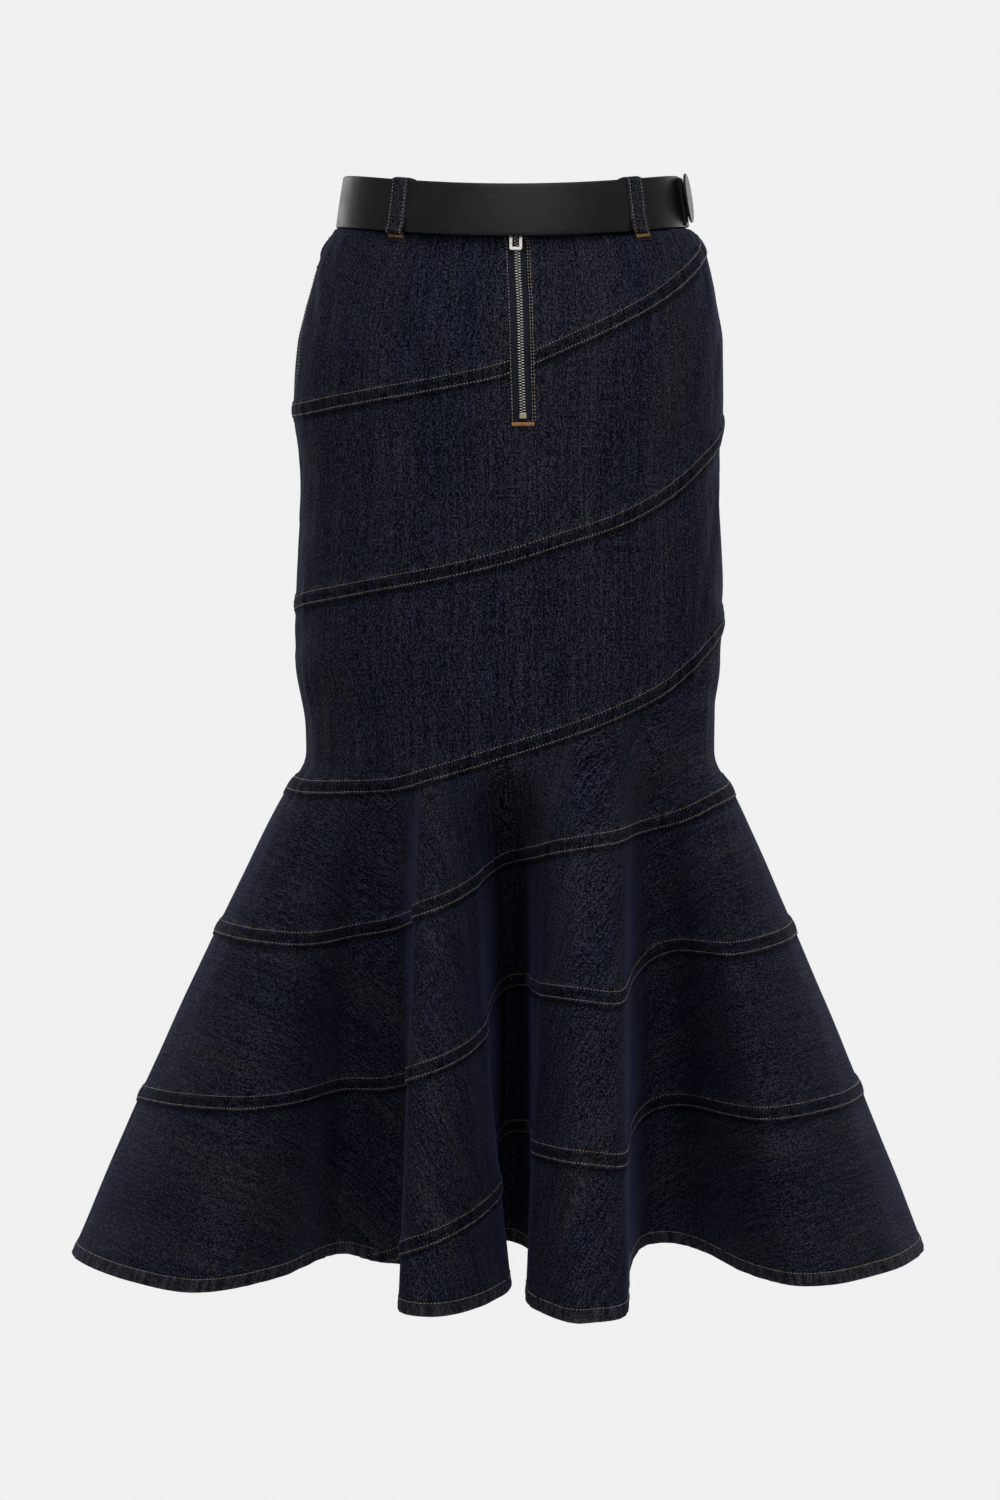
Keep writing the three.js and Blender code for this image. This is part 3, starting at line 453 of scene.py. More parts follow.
def metalMaterial(name, color, roughness):
    s = Shading(name, color, roughness, metallic=0.55)
    scuff = s.noise(s.place(), (900, 900, 300), 3.0, 0.6)
    worn = tuple(c * 0.72 for c in color)
    return s.finish([(scuff, 0.08, 0.0002)], color=s.blend(s.ramp(scuff, 0.4, 0.8), color, worn),
                    roughness=s.ramp(scuff, 0.25, 0.8, roughness * 0.75, roughness * 1.5))


def tapeMaterial(name):
    s = Shading(name, (0.012, 0.013, 0.02), 0.85, specular=0.25, sheen=0.15)
    ribs = s.add("ShaderNodeTexWave", {"Vector": s.place(), "Scale": 190.0, "Distortion": 0.4},
                 bands_direction="DIAGONAL").outputs["Fac"]
    return s.finish([(ribs, 0.5, 0.0003)], color=s.blend(ribs, (0.010, 0.012, 0.024), (0.022, 0.026, 0.048)))


denim = denimMaterial("denim", (0.0020, 0.0027, 0.0088), (0.058, 0.067, 0.114), (0.074, 0.076, 0.100))
# Pocket lining: a darker copy of the denim, painted shade for the inside of the pocket mouth.
shadedPocketDenim = denimMaterial("shadedPocketDenim", (0.002, 0.0024, 0.006), (0.014, 0.015, 0.024), (0.018, 0.018, 0.022))
tanThread = threadMaterial("tanThread", (0.42, 0.27, 0.14), (0.50, 0.45, 0.37))
rustThread = threadMaterial("rustThread", (0.42, 0.17, 0.05), (0.58, 0.30, 0.11))
leather = leatherMaterial("leather")
nickel = metalMaterial("nickel", (0.80, 0.78, 0.71), 0.26)
paleBrass = metalMaterial("paleBrass", (0.70, 0.60, 0.40), 0.32)
tapeWeave = tapeMaterial("tapeWeave")
print("materials made")

zipSizes = {
    "topX": 3.8, "slant": 0.034, "slotHalf": 6.8, "bottom": -167, "top": 16.5, "tapeHalf": 12, "tapeWall": 0.8,
    "behind": 2.8, "pitch": 2.06, "chainHalf": 2.5, "stopHalf": 2.7, "stopHeight": 4.2,
}
pocketSizes = {"top": -48, "bottom": -154, "middle": -122, "open": 8.5, "from": -3, "to": 15, "behind": 2.4}


# The zip and the seam under it slant a little to the right on their way down.
def centreAngle(z):
    x = zipSizes["topX"] + zipSizes["slant"] * (-28 - z)
    return 90 + np.degrees(np.arcsin((x - tubeShift(-z)) / tubeHalf(-z)))


# Half width of the slot in degrees: the full slot down to the stop, then a seam.
def slotDegrees(z):
    _, speed = normals(centreAngle(z), z)
    return zipSizes["slotHalf"] * smooth((z - zipSizes["bottom"] + 1.6) / 1.8) / speed


# The pocket's mouth is a lens between two heights, in degrees.
def mouthAt(z):
    end = np.where(z > pocketSizes["middle"], pocketSizes["top"], pocketSizes["bottom"])
    return pocketSizes["open"] * smooth((end - z) / (end - pocketSizes["middle"]))


# Half of a strip's columns: closer together where the hem turns.
def flareColumns(a0, a1):
    a = np.linspace(a0, a1, 721)
    dx, dy = np.gradient(foldX(a)), np.gradient(foldY(a))
    turn = np.abs(np.gradient(np.unwrap(np.arctan2(dy, dx))))
    cost = np.cumsum(np.hypot(dx, dy) / 60 + turn / math.radians(60))
    cost = np.convolve(np.pad(cost - cost[0], 6, mode="reflect", reflect_type="odd"), np.ones(13) / 13, "valid")
    cost = cost / cost[-1] + np.linspace(0, 0.35, len(a))
    columns = np.interp(np.linspace(cost[0], cost[-1], columnCount["flare"] + 1), cost, a)
    columns[[0, -1]] = a0, a1
    return columns


upperColumns = {half: np.linspace(*ends, columnCount["upper"] + 1) for half, ends in halves.items()}
lowerColumns = {half: flareColumns(*ends) for half, ends in halves.items()}


# The place on the flat cloth: distance round and height on the tube, a full circle's polar place in the flare.
def grainOf(half, angle, z, flared):
    middle = sum(halves[half]) / 2
    if not flared:
        return np.stack([0.141 * np.radians(angle - middle), z / 1000, np.zeros_like(z)], -1)
    hem = hemLines[half]
    turn = (hem["arc"](angle) - hem["arc"](middle)) / 541
    radius = (141 + levels["knee"] - z) / 1000
    return np.stack([radius * np.sin(turn), -radius * np.cos(turn), np.zeros_like(z)], -1)


# Distance along the nearest sewn line and across it in metres, and how firmly the cloth is stitched down there.
def seamPlace(half, upper, lower, angle, z):
    arc = hemLines[half]["arc"](angle)
    across = z - hemLines[half]["z"](angle) - 5
    firm = smooth((12 - z + hemLines[half]["z"](angle)) / 2)
    for line in (upper, lower):
        if line is not None:
            v = (z - line["z"](angle)) / line["steep"](angle)
            near = smooth((8.5 - np.abs(v)) / 2.5)
            arc, across = np.where(near > firm, line["arc"](angle), arc), np.where(near > firm, v, across)
            firm = np.maximum(firm, near)
    return np.stack([arc / 1000, across / 1000, firm], -1)


# A strip of the skirt. Each row is a height rule evaluated on its own columns: under the lap above, down the
# strip, then the lap's or the hem's profile. Outer = surface + normal * relief, inner = the same less the wall.
def makeBand(name, node, half, k, columns, side=0, flared=False):
    lines, hem = seamSets[half], hemLines[half]
    upper = lines[k - 1] if k > 0 else None
    lower = lines[k] if k < 6 else None
    top = upper if upper else waistLines[half]
    edge = cloth["lapEdge"]

    def lowEdge(a):
        return hem["z"](a) if lower is None else np.maximum(lower["z"](a) - edge * lower["steep"](a), hem["z"](a))

    def scale(a):
        return 1.0 if lower is None else lower["steep"](a)

    def start(a):
        return top["z"](a) - (7.5 * top["steep"](a) if upper else 1.6)

    def kneel(a):
        return lowEdge(a) + edgeSteps[0] * scale(a)

    reach = float(np.max(start(columns) - kneel(columns)))
    shares = list(np.linspace(0, 1, max(5, int(reach / 5)) + 1)[:-1])
    if not upper:
        shares = [0, 0.005, 0.011, 0.02] + shares[1:]
    if side and k == 1:
        c = centreAngle(zipSizes["bottom"])
        near = zipSizes["bottom"] + np.array([1.2, 0.6, 0.2, -0.2, -0.6, -1.0, -1.4, -1.8, -2.6])
        shares = sorted([s for s in shares if np.abs(start(c) + (kneel(c) - start(c)) * s - near[4]) > 4]
                        + list((near - start(c)) / (kneel(c) - start(c))))
    rules = [lambda a: top["z"](a) + (4.2 * top["steep"](a) if upper else 0.0)]
    if upper:
        rules += [lambda a, d=d: top["z"](a) + d * top["steep"](a) for d in (1.5, -2.0, -5.2)]
    rules += [lambda a, s=s: start(a) + (np.minimum(kneel(a), start(a) - 1.0) - start(a)) * s for s in shares]
    rules += [lambda a, d=d: lowEdge(a) + d * scale(a) for d in edgeSteps]

    angle, z = [], []
    for rule in rules:
        a = columns
        if side:
            zc = float(rule(90.0))
            for _ in range(4):
                zc = float(rule(centreAngle(zc)))
            centre = centreAngle(zc) + side * slotDegrees(zc)
            a = np.where(columns <= 90, columns * centre / 90, 180 - (180 - columns) * (180 - centre) / 90)
            if side < 0 and k == 0:
                a = a + mouthAt(float(rule(0.0))) * (1 - a / 90)
        angle.append(a)
        z.append(rule(a))
    angle, z = np.array(angle), np.array(z)
    z = np.maximum(np.minimum.accumulate(z, axis=0), hem["z"](angle)) - np.arange(len(z))[:, None] * 1e-3

    relief = reliefOf(half, upper, lower, angle, z)
    v = (z - lower["z"](angle)) / lower["steep"](angle) if lower else np.full(z.shape, 99.0)
    above = z - hem["z"](angle)
    outerLift = relief + lapHeight(v) * (v < lapProfile[-1, 0])
    hemWall = (cloth["hemWall"] - cloth["wall"]) * smooth((cloth["hemFold"] + 1.5 - above) / 2.5) * (v > 12)
    innerLift = relief + lapIn(v) - cloth["wall"] - hemWall

    _, speed = normals(angle, z)
    place = angle.copy()
    place[:, 0] += cloth["gap"] / 2 / speed[:, 0]
    place[:, -1] -= cloth["gap"] / 2 / speed[:, -1]
    base = surface(place, z)
    step = np.linalg.norm(np.diff(base, axis=1), axis=-1)
    fromLeft = np.hstack([np.zeros((len(z), 1)), np.cumsum(step, axis=1)])
    fromEdge = np.minimum(fromLeft, fromLeft[:, -1:] - fromLeft)
    outerLift -= 0.75 * bell(fromEdge, 1.5)
    normal, _ = normals(place, z)
    outer = base + normal * outerLift[..., None]
    inner = base + normal * innerLift[..., None]

    vTop = (z - upper["z"](angle)) / upper["steep"](angle) if upper else np.full(z.shape, 99.0)
    # Lap tone: pale worn edges beside both stitched lines, darker between the lines, and a painted shadow just below
    # the lap above (vTop + 7).
    lapWearAndShade = 0.6 * bell(v + 5.4, 0.9) + 0.3 * bell(v - 5.4, 0.9) - 0.45 * bell(v, 2.6) - 0.7 * bell(vTop + 7.0, 1.3)
    hemWear = 0.6 * smooth((2.6 - above) / 2.2) + 0.42 * smooth((cloth["hemFold"] - above) / 2)
    wearAndShade = np.clip(lapWearAndShade + hemWear + 0.12 * bell(fromEdge - 1.2, 0.9), -1, 1)
    attributes = {"grain": grainOf(half, angle, z, flared), "wearAndShade": wearAndShade}
    attributes["seam"] = seamPlace(half, upper, lower, angle, z)
    piece = makeWall(name, outer, inner, denim, attributes)
    stands(piece, "denim", node)
    return outer


middleColumn = columnCount["upper"] // 2
for k in range(7):
    for half in halves:
        flared = k > 2
        columns = (lowerColumns if k > 1 else upperColumns)[half]
        if k == 6:
            line = seamSets[half][5]
            shown = line["z"](columns) + 4.2 * line["steep"](columns) > hemAt(columns) + 1.0
            first = int(np.argmax(shown))
            columns = columns[first:]
        if half == "front" and k < 2:
            makeBand(f"front{k}Left", f"front_band_{k}_left", half, k, columns[:middleColumn + 1], -1)
            makeBand(f"front{k}Right", f"front_band_{k}_right", half, k, columns[middleColumn:], 1)
        else:
            makeBand(f"{half}{k}", f"{half}_band_{k}", half, k, columns, 0, flared)
print("strips made")

# Side seams: the allowances inside, pressed flat behind the gap between front and back.
sideSeam = {"half": 7.0, "lift": -3.9, "thick": 0.6, "rows": 130, "aboveHem": 4.0}


def makeSideSeam(name, middle, top):
    z = np.linspace(top, hemAt(middle) + sideSeam["aboveHem"], sideSeam["rows"])[:, None] + np.zeros(5)
    angle = np.full(z.shape, float(middle))
    across = np.linspace(-1, 1, 5) * sideSeam["half"]
    angle = np.mod(angle + across / normals(angle, z)[1], 360)
    base, normal = surface(angle, z), normals(angle, z)[0]
    grain = np.stack([across + 0 * z, z, 0 * z], -1) / 1000
    outer, inner = base + normal * sideSeam["lift"], base + normal * (sideSeam["lift"] - sideSeam["thick"])
    stands(makeWall(name, outer, inner, denim, {"grain": grain, "wearAndShade": 0 * z}), "denim")


makeSideSeam("leftSeamAllowance", 0.01, -160)
makeSideSeam("rightSeamAllowance", 180, -22)
print("side seams made")

# Waistband: a straight strip, hidden by the belt but for its top edge.
def makeWaistband(name, node, half, columns, side=0):
    bandLevels = np.array([17, 16.9, 16.4, 15, 10, 4, -3, -10, -14, -15.5])
    rounding = np.array([1.1, 0.5, 0.1, 0, 0, 0, 0, 0, 0, 0.3])
    angle, z = [], []
    for level in bandLevels:
        a = columns
        if side:
            zc = level - dipAt(90.0)
            for _ in range(4):
                zc = level - dipAt(centreAngle(zc))
            centre = centreAngle(zc) + side * slotDegrees(zc)
            a = np.where(columns <= 90, columns * centre / 90, 180 - (180 - columns) * (180 - centre) / 90)
        angle.append(a)
        z.append(level - dipAt(a))
    angle, z = np.array(angle), np.array(z)
    normal, speed = normals(angle, z)
    angle[:, 0] += cloth["gap"] / 2 / speed[:, 0]
    angle[:, -1] -= cloth["gap"] / 2 / speed[:, -1]
    base = surface(angle, z)
    outer = base + normal * (0.6 - rounding[:, None])[..., None]
    inner = base + normal * (-1.8 + rounding[:, None])[..., None]
    grain = np.stack([z / 1000, 0.14 * np.radians(angle), np.zeros_like(z)], -1)
    wearAndShade = np.broadcast_to(0.3 * bell(bandLevels - 17, 1.5)[:, None], z.shape)
    piece = stands(makeWall(name, outer, inner, denim, {"grain": grain, "wearAndShade": wearAndShade}), "denim", node)


makeWaistband("waistLeft", "waistband_left", "front", upperColumns["front"][:middleColumn + 1], -1)
makeWaistband("waistRight", "waistband_right", "front", upperColumns["front"][middleColumn:], 1)
makeWaistband("waistBack", "waistband_back", "back", upperColumns["back"])

pocketAngles = np.linspace(pocketSizes["from"], pocketSizes["to"], 40)
pocketHeights = np.linspace(pocketSizes["top"] + 8, pocketSizes["bottom"] + 8, 50)
angle, z = np.meshgrid(pocketAngles, pocketHeights)
normal, _ = normals(angle, z)
base = surface(angle, z) + normal * (creases(angle, z) - pocketSizes["behind"])[..., None]
# The lining wears the darker denim copy, painted shade inside the pocket mouth.
pocketLining = makeWall("pocketLining", base, base - normal * cloth["wall"], shadedPocketDenim,
                        {"grain": grainOf("front", angle, z, False), "wearAndShade": np.zeros_like(z)})
stands(pocketLining, "facing", "pocket_facing")

belt = {"middle": 2.4, "half": 19.6, "thick": 2.8, "side": 1.2, "frontMore": 5.8, "columns": 260}
beltEnd = {"from": 168, "to": 214, "half": 18.4, "thick": 1.8, "tip": 13, "columns": 90}
beltSection = np.array([
    (1, 1.2), (0.99, 0.6), (0.965, 0.2), (0.93, 0.04), (0.8, -0.05), (0.5, -0.16), (0.2, -0.22), (-0.2, -0.22),
    (-0.5, -0.16), (-0.8, -0.05), (-0.93, 0.04), (-0.965, 0.2), (-0.99, 0.6), (-1, 1.2),
])


# Round the waist: x = shift - (half + out) * cos, y = -(depth + out) * sin, at a level over the dipped waistline.
def waistPoint(angle, out, level):
    angle, out, level = np.broadcast_arrays(np.asarray(angle, float), out, level)
    c, s = np.cos(np.radians(angle)), np.sin(np.radians(angle))
    half, front = 131.1 - 0.15 * (level + 15.5), tubeFront(15.5) - 0.09 * (level + 15.5)
    depth = np.where(s > 0, front, front + 3.5)
    return np.stack([tubeShift(0) - (half + out) * c, -(depth + out) * s, level - dipAt(angle)], -1)


def beltOut(angle):
    return belt["side"] + belt["frontMore"] * np.maximum(0, np.sin(np.radians(angle))) ** 2


ringAngles = np.linspace(0, 360, belt["columns"], endpoint=False)[None, :]
level = belt["middle"] + beltSection[:, :1] * belt["half"] + 0 * ringAngles
outer = waistPoint(ringAngles, beltOut(ringAngles) + belt["thick"] - beltSection[:, 1:], level)
inner = waistPoint(ringAngles, beltOut(ringAngles) + beltSection[:, 1:].clip(0) * 0.4, level)
stands(makeWall("beltStrap", outer, inner, leather, ring=True), "leather", "belt_strap")

endAngles = np.linspace(beltEnd["from"], beltEnd["to"], beltEnd["columns"])
endAngles = np.sort(np.append(endAngles, endAngles[-1] - np.array([0.25, 0.08, 0])))
left = np.minimum((beltEnd["to"] - endAngles) / beltEnd["tip"], 1)
endHalf = beltEnd["half"] * np.sqrt(np.clip(1 - (1 - left) ** 2, 0.004, 1))
endOut = beltOut(endAngles) + belt["thick"] + cloth["gap"]
level = belt["middle"] + beltSection[:, :1] * endHalf
outer = waistPoint(endAngles, endOut + beltEnd["thick"] - beltSection[:, 1:] * 0.8, level)
inner = waistPoint(endAngles, endOut + beltSection[:, 1:].clip(0) * 0.3, level)
stands(makeWall("beltEnd", outer, inner, leather), "leather", "belt_end")

buckle = {"angle": 172, "level": 5.1, "tilt": 0.14, "turn": 0.16, "studHeight": 1, "columns": 96}
discProfile = [
    (0, 0), (13, 0), (16.8, 0.1), (18.2, 0.4), (18.9, 1), (19, 1.4), (18.8, 1.9), (18.1, 2.35), (17.1, 2.6),
    (16.6, 2.55), (16.2, 2.45), (15.8, 2.55), (15.2, 2.68), (12, 2.76), (6, 2.8), (0, 2.82),
]


# A turned form: each profile point (radius, height) is carried round the axis, from the foot to the top.
def makeTurned(name, node, profile, foot, axis, material, slot):
    r, h = np.array(profile, float).T
    turn = np.linspace(0, 2 * np.pi, buckle["columns"], endpoint=False)
    side = unit(np.cross(axis, [0, 1.0, 0]))
    other = np.cross(axis, side)
    ring = np.cos(turn)[None, :, None] * side + np.sin(turn)[None, :, None] * other
    points = foot + axis * h[1:-1, None, None] + ring * r[1:-1, None, None]
    rows, cols = points.shape[:2]
    ids = np.arange(rows * cols).reshape(rows, cols)
    ids = np.hstack([ids, ids[:, :1]])
    n = rows * cols
    faces = np.stack([ids[:-1, :-1], ids[:-1, 1:], ids[1:, 1:], ids[1:, :-1]], -1).reshape(-1, 4).tolist()
    faces += [[n, b, a] for a, b in zip(ids[0, :-1].tolist(), ids[0, 1:].tolist())]
    faces += [[n + 1, a, b] for a, b in zip(ids[-1, :-1].tolist(), ids[-1, 1:].tolist())]
    every = np.vstack([points.reshape(-1, 3), foot + axis * h[0], foot + axis * h[-1]])
    mesh = bpy.data.meshes.new(name)
    mesh.from_pydata(metres(every).tolist(), [], faces)
    mesh.shade_smooth()
    mesh.set_sharp_from_angle(angle=math.radians(50))
    mesh.materials.append(material)
    piece = bpy.data.objects.new(name, mesh)
    bpy.context.scene.collection.objects.link(piece)
    return stands(piece, slot, node)


discOut = float(beltOut(buckle["angle"])) + belt["thick"] + cloth["gap"] + beltEnd["thick"] + cloth["gap"]
flat = math.cos(buckle["tilt"])
axis = np.array([flat * math.cos(buckle["turn"]), -flat * math.sin(buckle["turn"]), math.sin(buckle["tilt"])])
foot = waistPoint(buckle["angle"], discOut, buckle["level"])
studProfile = [(0, 0), (4.8, 0), (5, 0.2), (5, 0.8), (4.8, 1), (0, 1)]
makeTurned("buckleStud", "buckle_stud", studProfile, foot, axis, leather, "leather")
discFoot = waistPoint(buckle["angle"], discOut + buckle["studHeight"] + cloth["gap"], buckle["level"])
makeTurned("buckleDisc", "buckle_disc", discProfile, discFoot, axis, leather, "leather")
print("belt made")

# Stitches: small capsules, a ring of six near each end and a point at the tips, which are sunk.
thread = {"length": 1.6, "gap": 1.0, "radius": 0.34, "sink": 0.14}
capsuleAlong = np.array([-1, -0.6, 0.6, 1])
capsuleRound = np.array([0, 0.96, 0.96, 0])


def capsules(centres, along, up, length, radius, sink):
    side = np.cross(along, up)
    turn = np.arange(6) * np.pi / 3
    parts = []
    for u, r in zip(capsuleAlong, capsuleRound):
        middle = centres + along * (u * np.asarray(length)[..., None] / 2) - up * (sink * u * u * 1.6)
        if r == 0:
            parts.append(middle[:, None])
        else:
            ring = np.cos(turn)[None, :, None] * side[:, None] + np.sin(turn)[None, :, None] * up[:, None]
            parts.append(middle[:, None] + ring * (r * radius))
    points = np.concatenate(parts, axis=1)
    k = np.arange(6)
    n = (k + 1) % 6
    tips = [np.stack([np.zeros(6, int), 1 + n, 1 + k], -1), np.stack([np.full(6, 13), 7 + k, 7 + n], -1)]
    return points, np.vstack(tips), np.stack([1 + k, 1 + n, 7 + n, 7 + k], -1)


class Thread:
    def __init__(self, name, material):
        self.name, self.material, self.points, self.tris, self.quads, self.count = name, material, [], [], [], 0

    def lay(self, centres, along, up, length, radius=thread["radius"], sink=thread["sink"]):
        lengths = np.broadcast_to(length, len(centres))
        points, tris, quads = capsules(centres, unit(along), unit(up), lengths, radius, sink)
        base = self.count + np.arange(len(centres))[:, None, None] * 14
        self.points.append(points.reshape(-1, 3))
        self.tris.append((tris[None] + base).reshape(-1, 3))
        self.quads.append((quads[None] + base).reshape(-1, 4))
        self.count += len(centres) * 14

    # Stitches at even steps along a line of points with normals.
    def sew(self, line, normal):
        arc = np.concatenate([[0], np.cumsum(np.linalg.norm(np.diff(line, axis=0), axis=1))])
        step = thread["length"] + thread["gap"]
        number = int(arc[-1] / step)
        if number < 1:
            return
        s = (np.arange(number) + 0.5) * arc[-1] / number

        def at(place, values):
            return np.stack([np.interp(place, arc, values[:, i]) for i in range(3)], -1)

        self.lay(at(s, line), at(s + 0.8, line) - at(s - 0.8, line), at(s, normal), thread["length"])

    def make(self):
        faces = np.vstack(self.tris).tolist() + np.vstack(self.quads).tolist()
        mesh = bpy.data.meshes.new(self.name)
        mesh.from_pydata(metres(np.vstack(self.points)).tolist(), [], faces)
        mesh.shade_smooth()
        mesh.materials.append(self.material)
        piece = bpy.data.objects.new(self.name, mesh)
        bpy.context.scene.collection.objects.link(piece)
        return stands(piece, "denim")


frontThread, backThread = Thread("frontStitching", tanThread), Thread("backStitching", tanThread)
tacks = Thread("bartacks", rustThread)
threads = {"front": frontThread, "back": backThread}


# A line of stitching on the cloth, at angles and heights with a lift over the plain surface.
def onCloth(half, upper, lower, angle, z, lift):
    normal, _ = normals(angle, z)
    out = reliefOf(half, upper, lower, angle, z) + lift + thread["radius"] * 0.35
    return surface(angle, z) + normal * out[..., None], normal


# The unbroken runs of a mask, as lists of places in it.
def runsOf(keep):
    places = np.flatnonzero(keep)
    runs = np.split(places, np.flatnonzero(np.diff(places) > 1) + 1)
    return [run for run in runs if len(run) > 3]


for half, ends in halves.items():
    fine = np.linspace(ends[0] + 0.3, ends[1] - 0.3, 2400)
    for k, line in enumerate(seamSets[half]):
        for v in (cloth["stitchLine"], -cloth["stitchLine"]):
            z = line["z"](fine) + v * line["steep"](fine)
            keep = z > hemAt(fine) + 2.5
            if k < 2 and half == "front":
                keep &= (np.abs(fine - centreAngle(z)) > 0.25 + slotDegrees(z) * 1.15)
            for run in runsOf(keep):
                path, normal = onCloth(half, line, None, fine[run], z[run], lapHeight(v))
                threads[half].sew(path, normal)
    z = hemAt(fine) + cloth["hemLine"]
    last = seamSets[half][5]
    covered = np.abs((z - last["z"](fine)) / last["steep"](fine)) < 6.2
    lift = hemForm(hemLines[half]["arc"](fine), np.full(len(fine), cloth["hemLine"]))
    normal, _ = normals(fine, z)
    folds = pucker(hemLines[half]["arc"](fine), np.full(len(fine), cloth["stitchLine"]), 0.4)
    out = creases(fine, z) + lift + folds + 0.12
    path = surface(fine, z) + normal * out[:, None]
    for run in runsOf(~covered):
        threads[half].sew(path[run], normal[run])

# Beside the zip: one line on the left, two on the right, down to the bartack.
zipLines = {"left": [-7.8], "right": [7.5, 9.3], "from": -29.5, "to": -168}
heights = np.linspace(zipLines["from"], zipLines["to"], 500)
for offset in zipLines["left"] + zipLines["right"]:
    _, speed = normals(centreAngle(heights), heights)
    a = centreAngle(heights) + offset / speed
    path, normal = onCloth("front", None, frontSeams[0], a, heights, 0.0)
    v = (heights - frontSeams[0]["z"](a)) / frontSeams[0]["steep"](a)
    path = path + normal * (np.where(np.abs(v) < 7.4, lapHeight(v), 0) - 0.1)[:, None]
    frontThread.sew(path, normal)


def bartack(centre, along, across, up, width, height, step=0.62):
    number = max(3, int(width / step))
    place = (np.arange(number) - (number - 1) / 2) * width / number
    centres = centre + unit(along) * place[:, None]
    count = len(centres)
    tacks.lay(centres, np.tile(across, (count, 1)), np.tile(up, (count, 1)), height, 0.42, 0.25)


a, z = float(centreAngle(-169.6)), -169.6
normal, speed = normals(a, z)
foot = surface(a, z) + normal * 0.5
right = unit(surface(a + 0.5, z) - surface(a - 0.5, z))
bartack(foot, right, np.cross(normal, right), normal, 17, 3.4)
for end in (pocketSizes["top"] + 1, pocketSizes["bottom"] + 3):
    a = 1.6
    normal, _ = normals(a, end)
    right = unit(surface(a + 0.5, end) - surface(a - 0.5, end))
    bartack(surface(a, end) + normal * 0.4, right, np.cross(normal, right), normal, 7, 2.0)

mouthHeights = np.linspace(pocketSizes["top"] - 2, pocketSizes["bottom"] + 4, 300)
for offset in (1.6, 7.6):
    _, speed = normals(mouthAt(mouthHeights), mouthHeights)
    a = mouthAt(mouthHeights) + offset / speed
    path, normal = onCloth("front", None, frontSeams[0], a, mouthHeights, -0.1)
    frontThread.sew(path, normal)

# Belt loops: a strip from the cloth under the belt, over its face and down behind the waistband's top.
loop = {
    "width": 14, "wall": 1, "foot": -24.8, "lift": 2, "angles": [51, 134, 228, 270, 312], "rows": 60, "columns": 17,
}


def loopPath(angles):
    lift = cloth["gap"] + loop["wall"]

    def skin(level, out):
        z = level - dipAt(angles)
        normal, _ = normals(angles, z)
        return surface(angles, z) + normal * out

    def onBelt(level, out):
        return waistPoint(angles, out + beltOut(angles) + belt["thick"], level)

    over, low = belt["middle"] + belt["half"] + 0.2, belt["middle"] - belt["half"]
    return np.array([
        waistPoint(angles, -2.4, 17.4), waistPoint(angles, -2.4, over + loop["wall"] * 0.6),
        waistPoint(angles, -0.6, over + loop["wall"]), onBelt(over + loop["wall"], -0.6),
        onBelt(over + loop["wall"] * 0.4, lift * 0.8), onBelt(over - 2, lift), onBelt(12, lift + 0.15),
        onBelt(0, lift + 0.3), onBelt(-10, lift + 0.7), onBelt(low, lift + loop["lift"]),
        skin(loop["foot"] + 3, lift + 0.2), skin(loop["foot"], lift),
    ])


for number, middle in enumerate(loop["angles"]):
    _, speed = normals(float(middle), -20.0)
    u = np.linspace(-1, 1, loop["columns"])
    angles = middle + u * loop["width"] / 2 / speed
    knots = loopPath(angles)
    gaps = np.linalg.norm(np.diff(knots[:, loop["columns"] // 2], axis=0), axis=1)
    arc = np.concatenate([[0], np.cumsum(gaps)])
    s = np.linspace(0, arc[-1], loop["rows"])
    path = np.stack([[curveOf(arc, knots[:, j, i], steady=False)(s) for i in range(3)] for j in range(len(u))])
    path = np.moveaxis(path, [0, 1, 2], [1, 2, 0])
    down, right = np.gradient(path, axis=0), np.gradient(path, axis=1)
    normal = unit(np.cross(down, right))
    fold = -0.55 * bell(1 - np.abs(u), 0.09) - 0.22 * bell(np.abs(u) - 0.74, 0.1) + 0.12 * np.cos(u * 1.6)
    ripple = 0.12 * np.sin(s * 0.55 + number)[:, None] * bell(np.abs(u) - 0.74, 0.25)[None, :]
    outer = path + normal * (fold[None, :] + ripple)[..., None]
    inner = path - normal * loop["wall"]
    shape = outer.shape[:2]
    grain = np.stack([np.broadcast_to(u * 0.007, shape), np.broadcast_to(-s[:, None] / 1000, shape),
                      np.full(shape, 0.01 * number)], -1)
    wearAndShade = np.broadcast_to(0.5 * bell(1 - np.abs(u), 0.12) + 0.06, outer.shape[:2])
    piece = makeWall(f"beltLoop{number + 1}", outer, inner, denim, {"grain": grain, "wearAndShade": wearAndShade})
    stands(piece, "denim", f"belt_loop_{number + 1}")
    half = "front" if middle < 180 else "back"
    for column in (2, loop["columns"] - 3):
        threads[half].sew(outer[8:-3, column] + normal[8:-3, column] * 0.12, normal[8:-3, column])
    foot = (len(s) - 5, len(u) // 2)
    bartack(outer[foot] + normal[foot] * 0.1, right[foot], unit(down[foot]), normal[foot], 12.5, 4.6)

for item in (frontThread, backThread, tacks):
    item.make()
print("loops and stitching made")

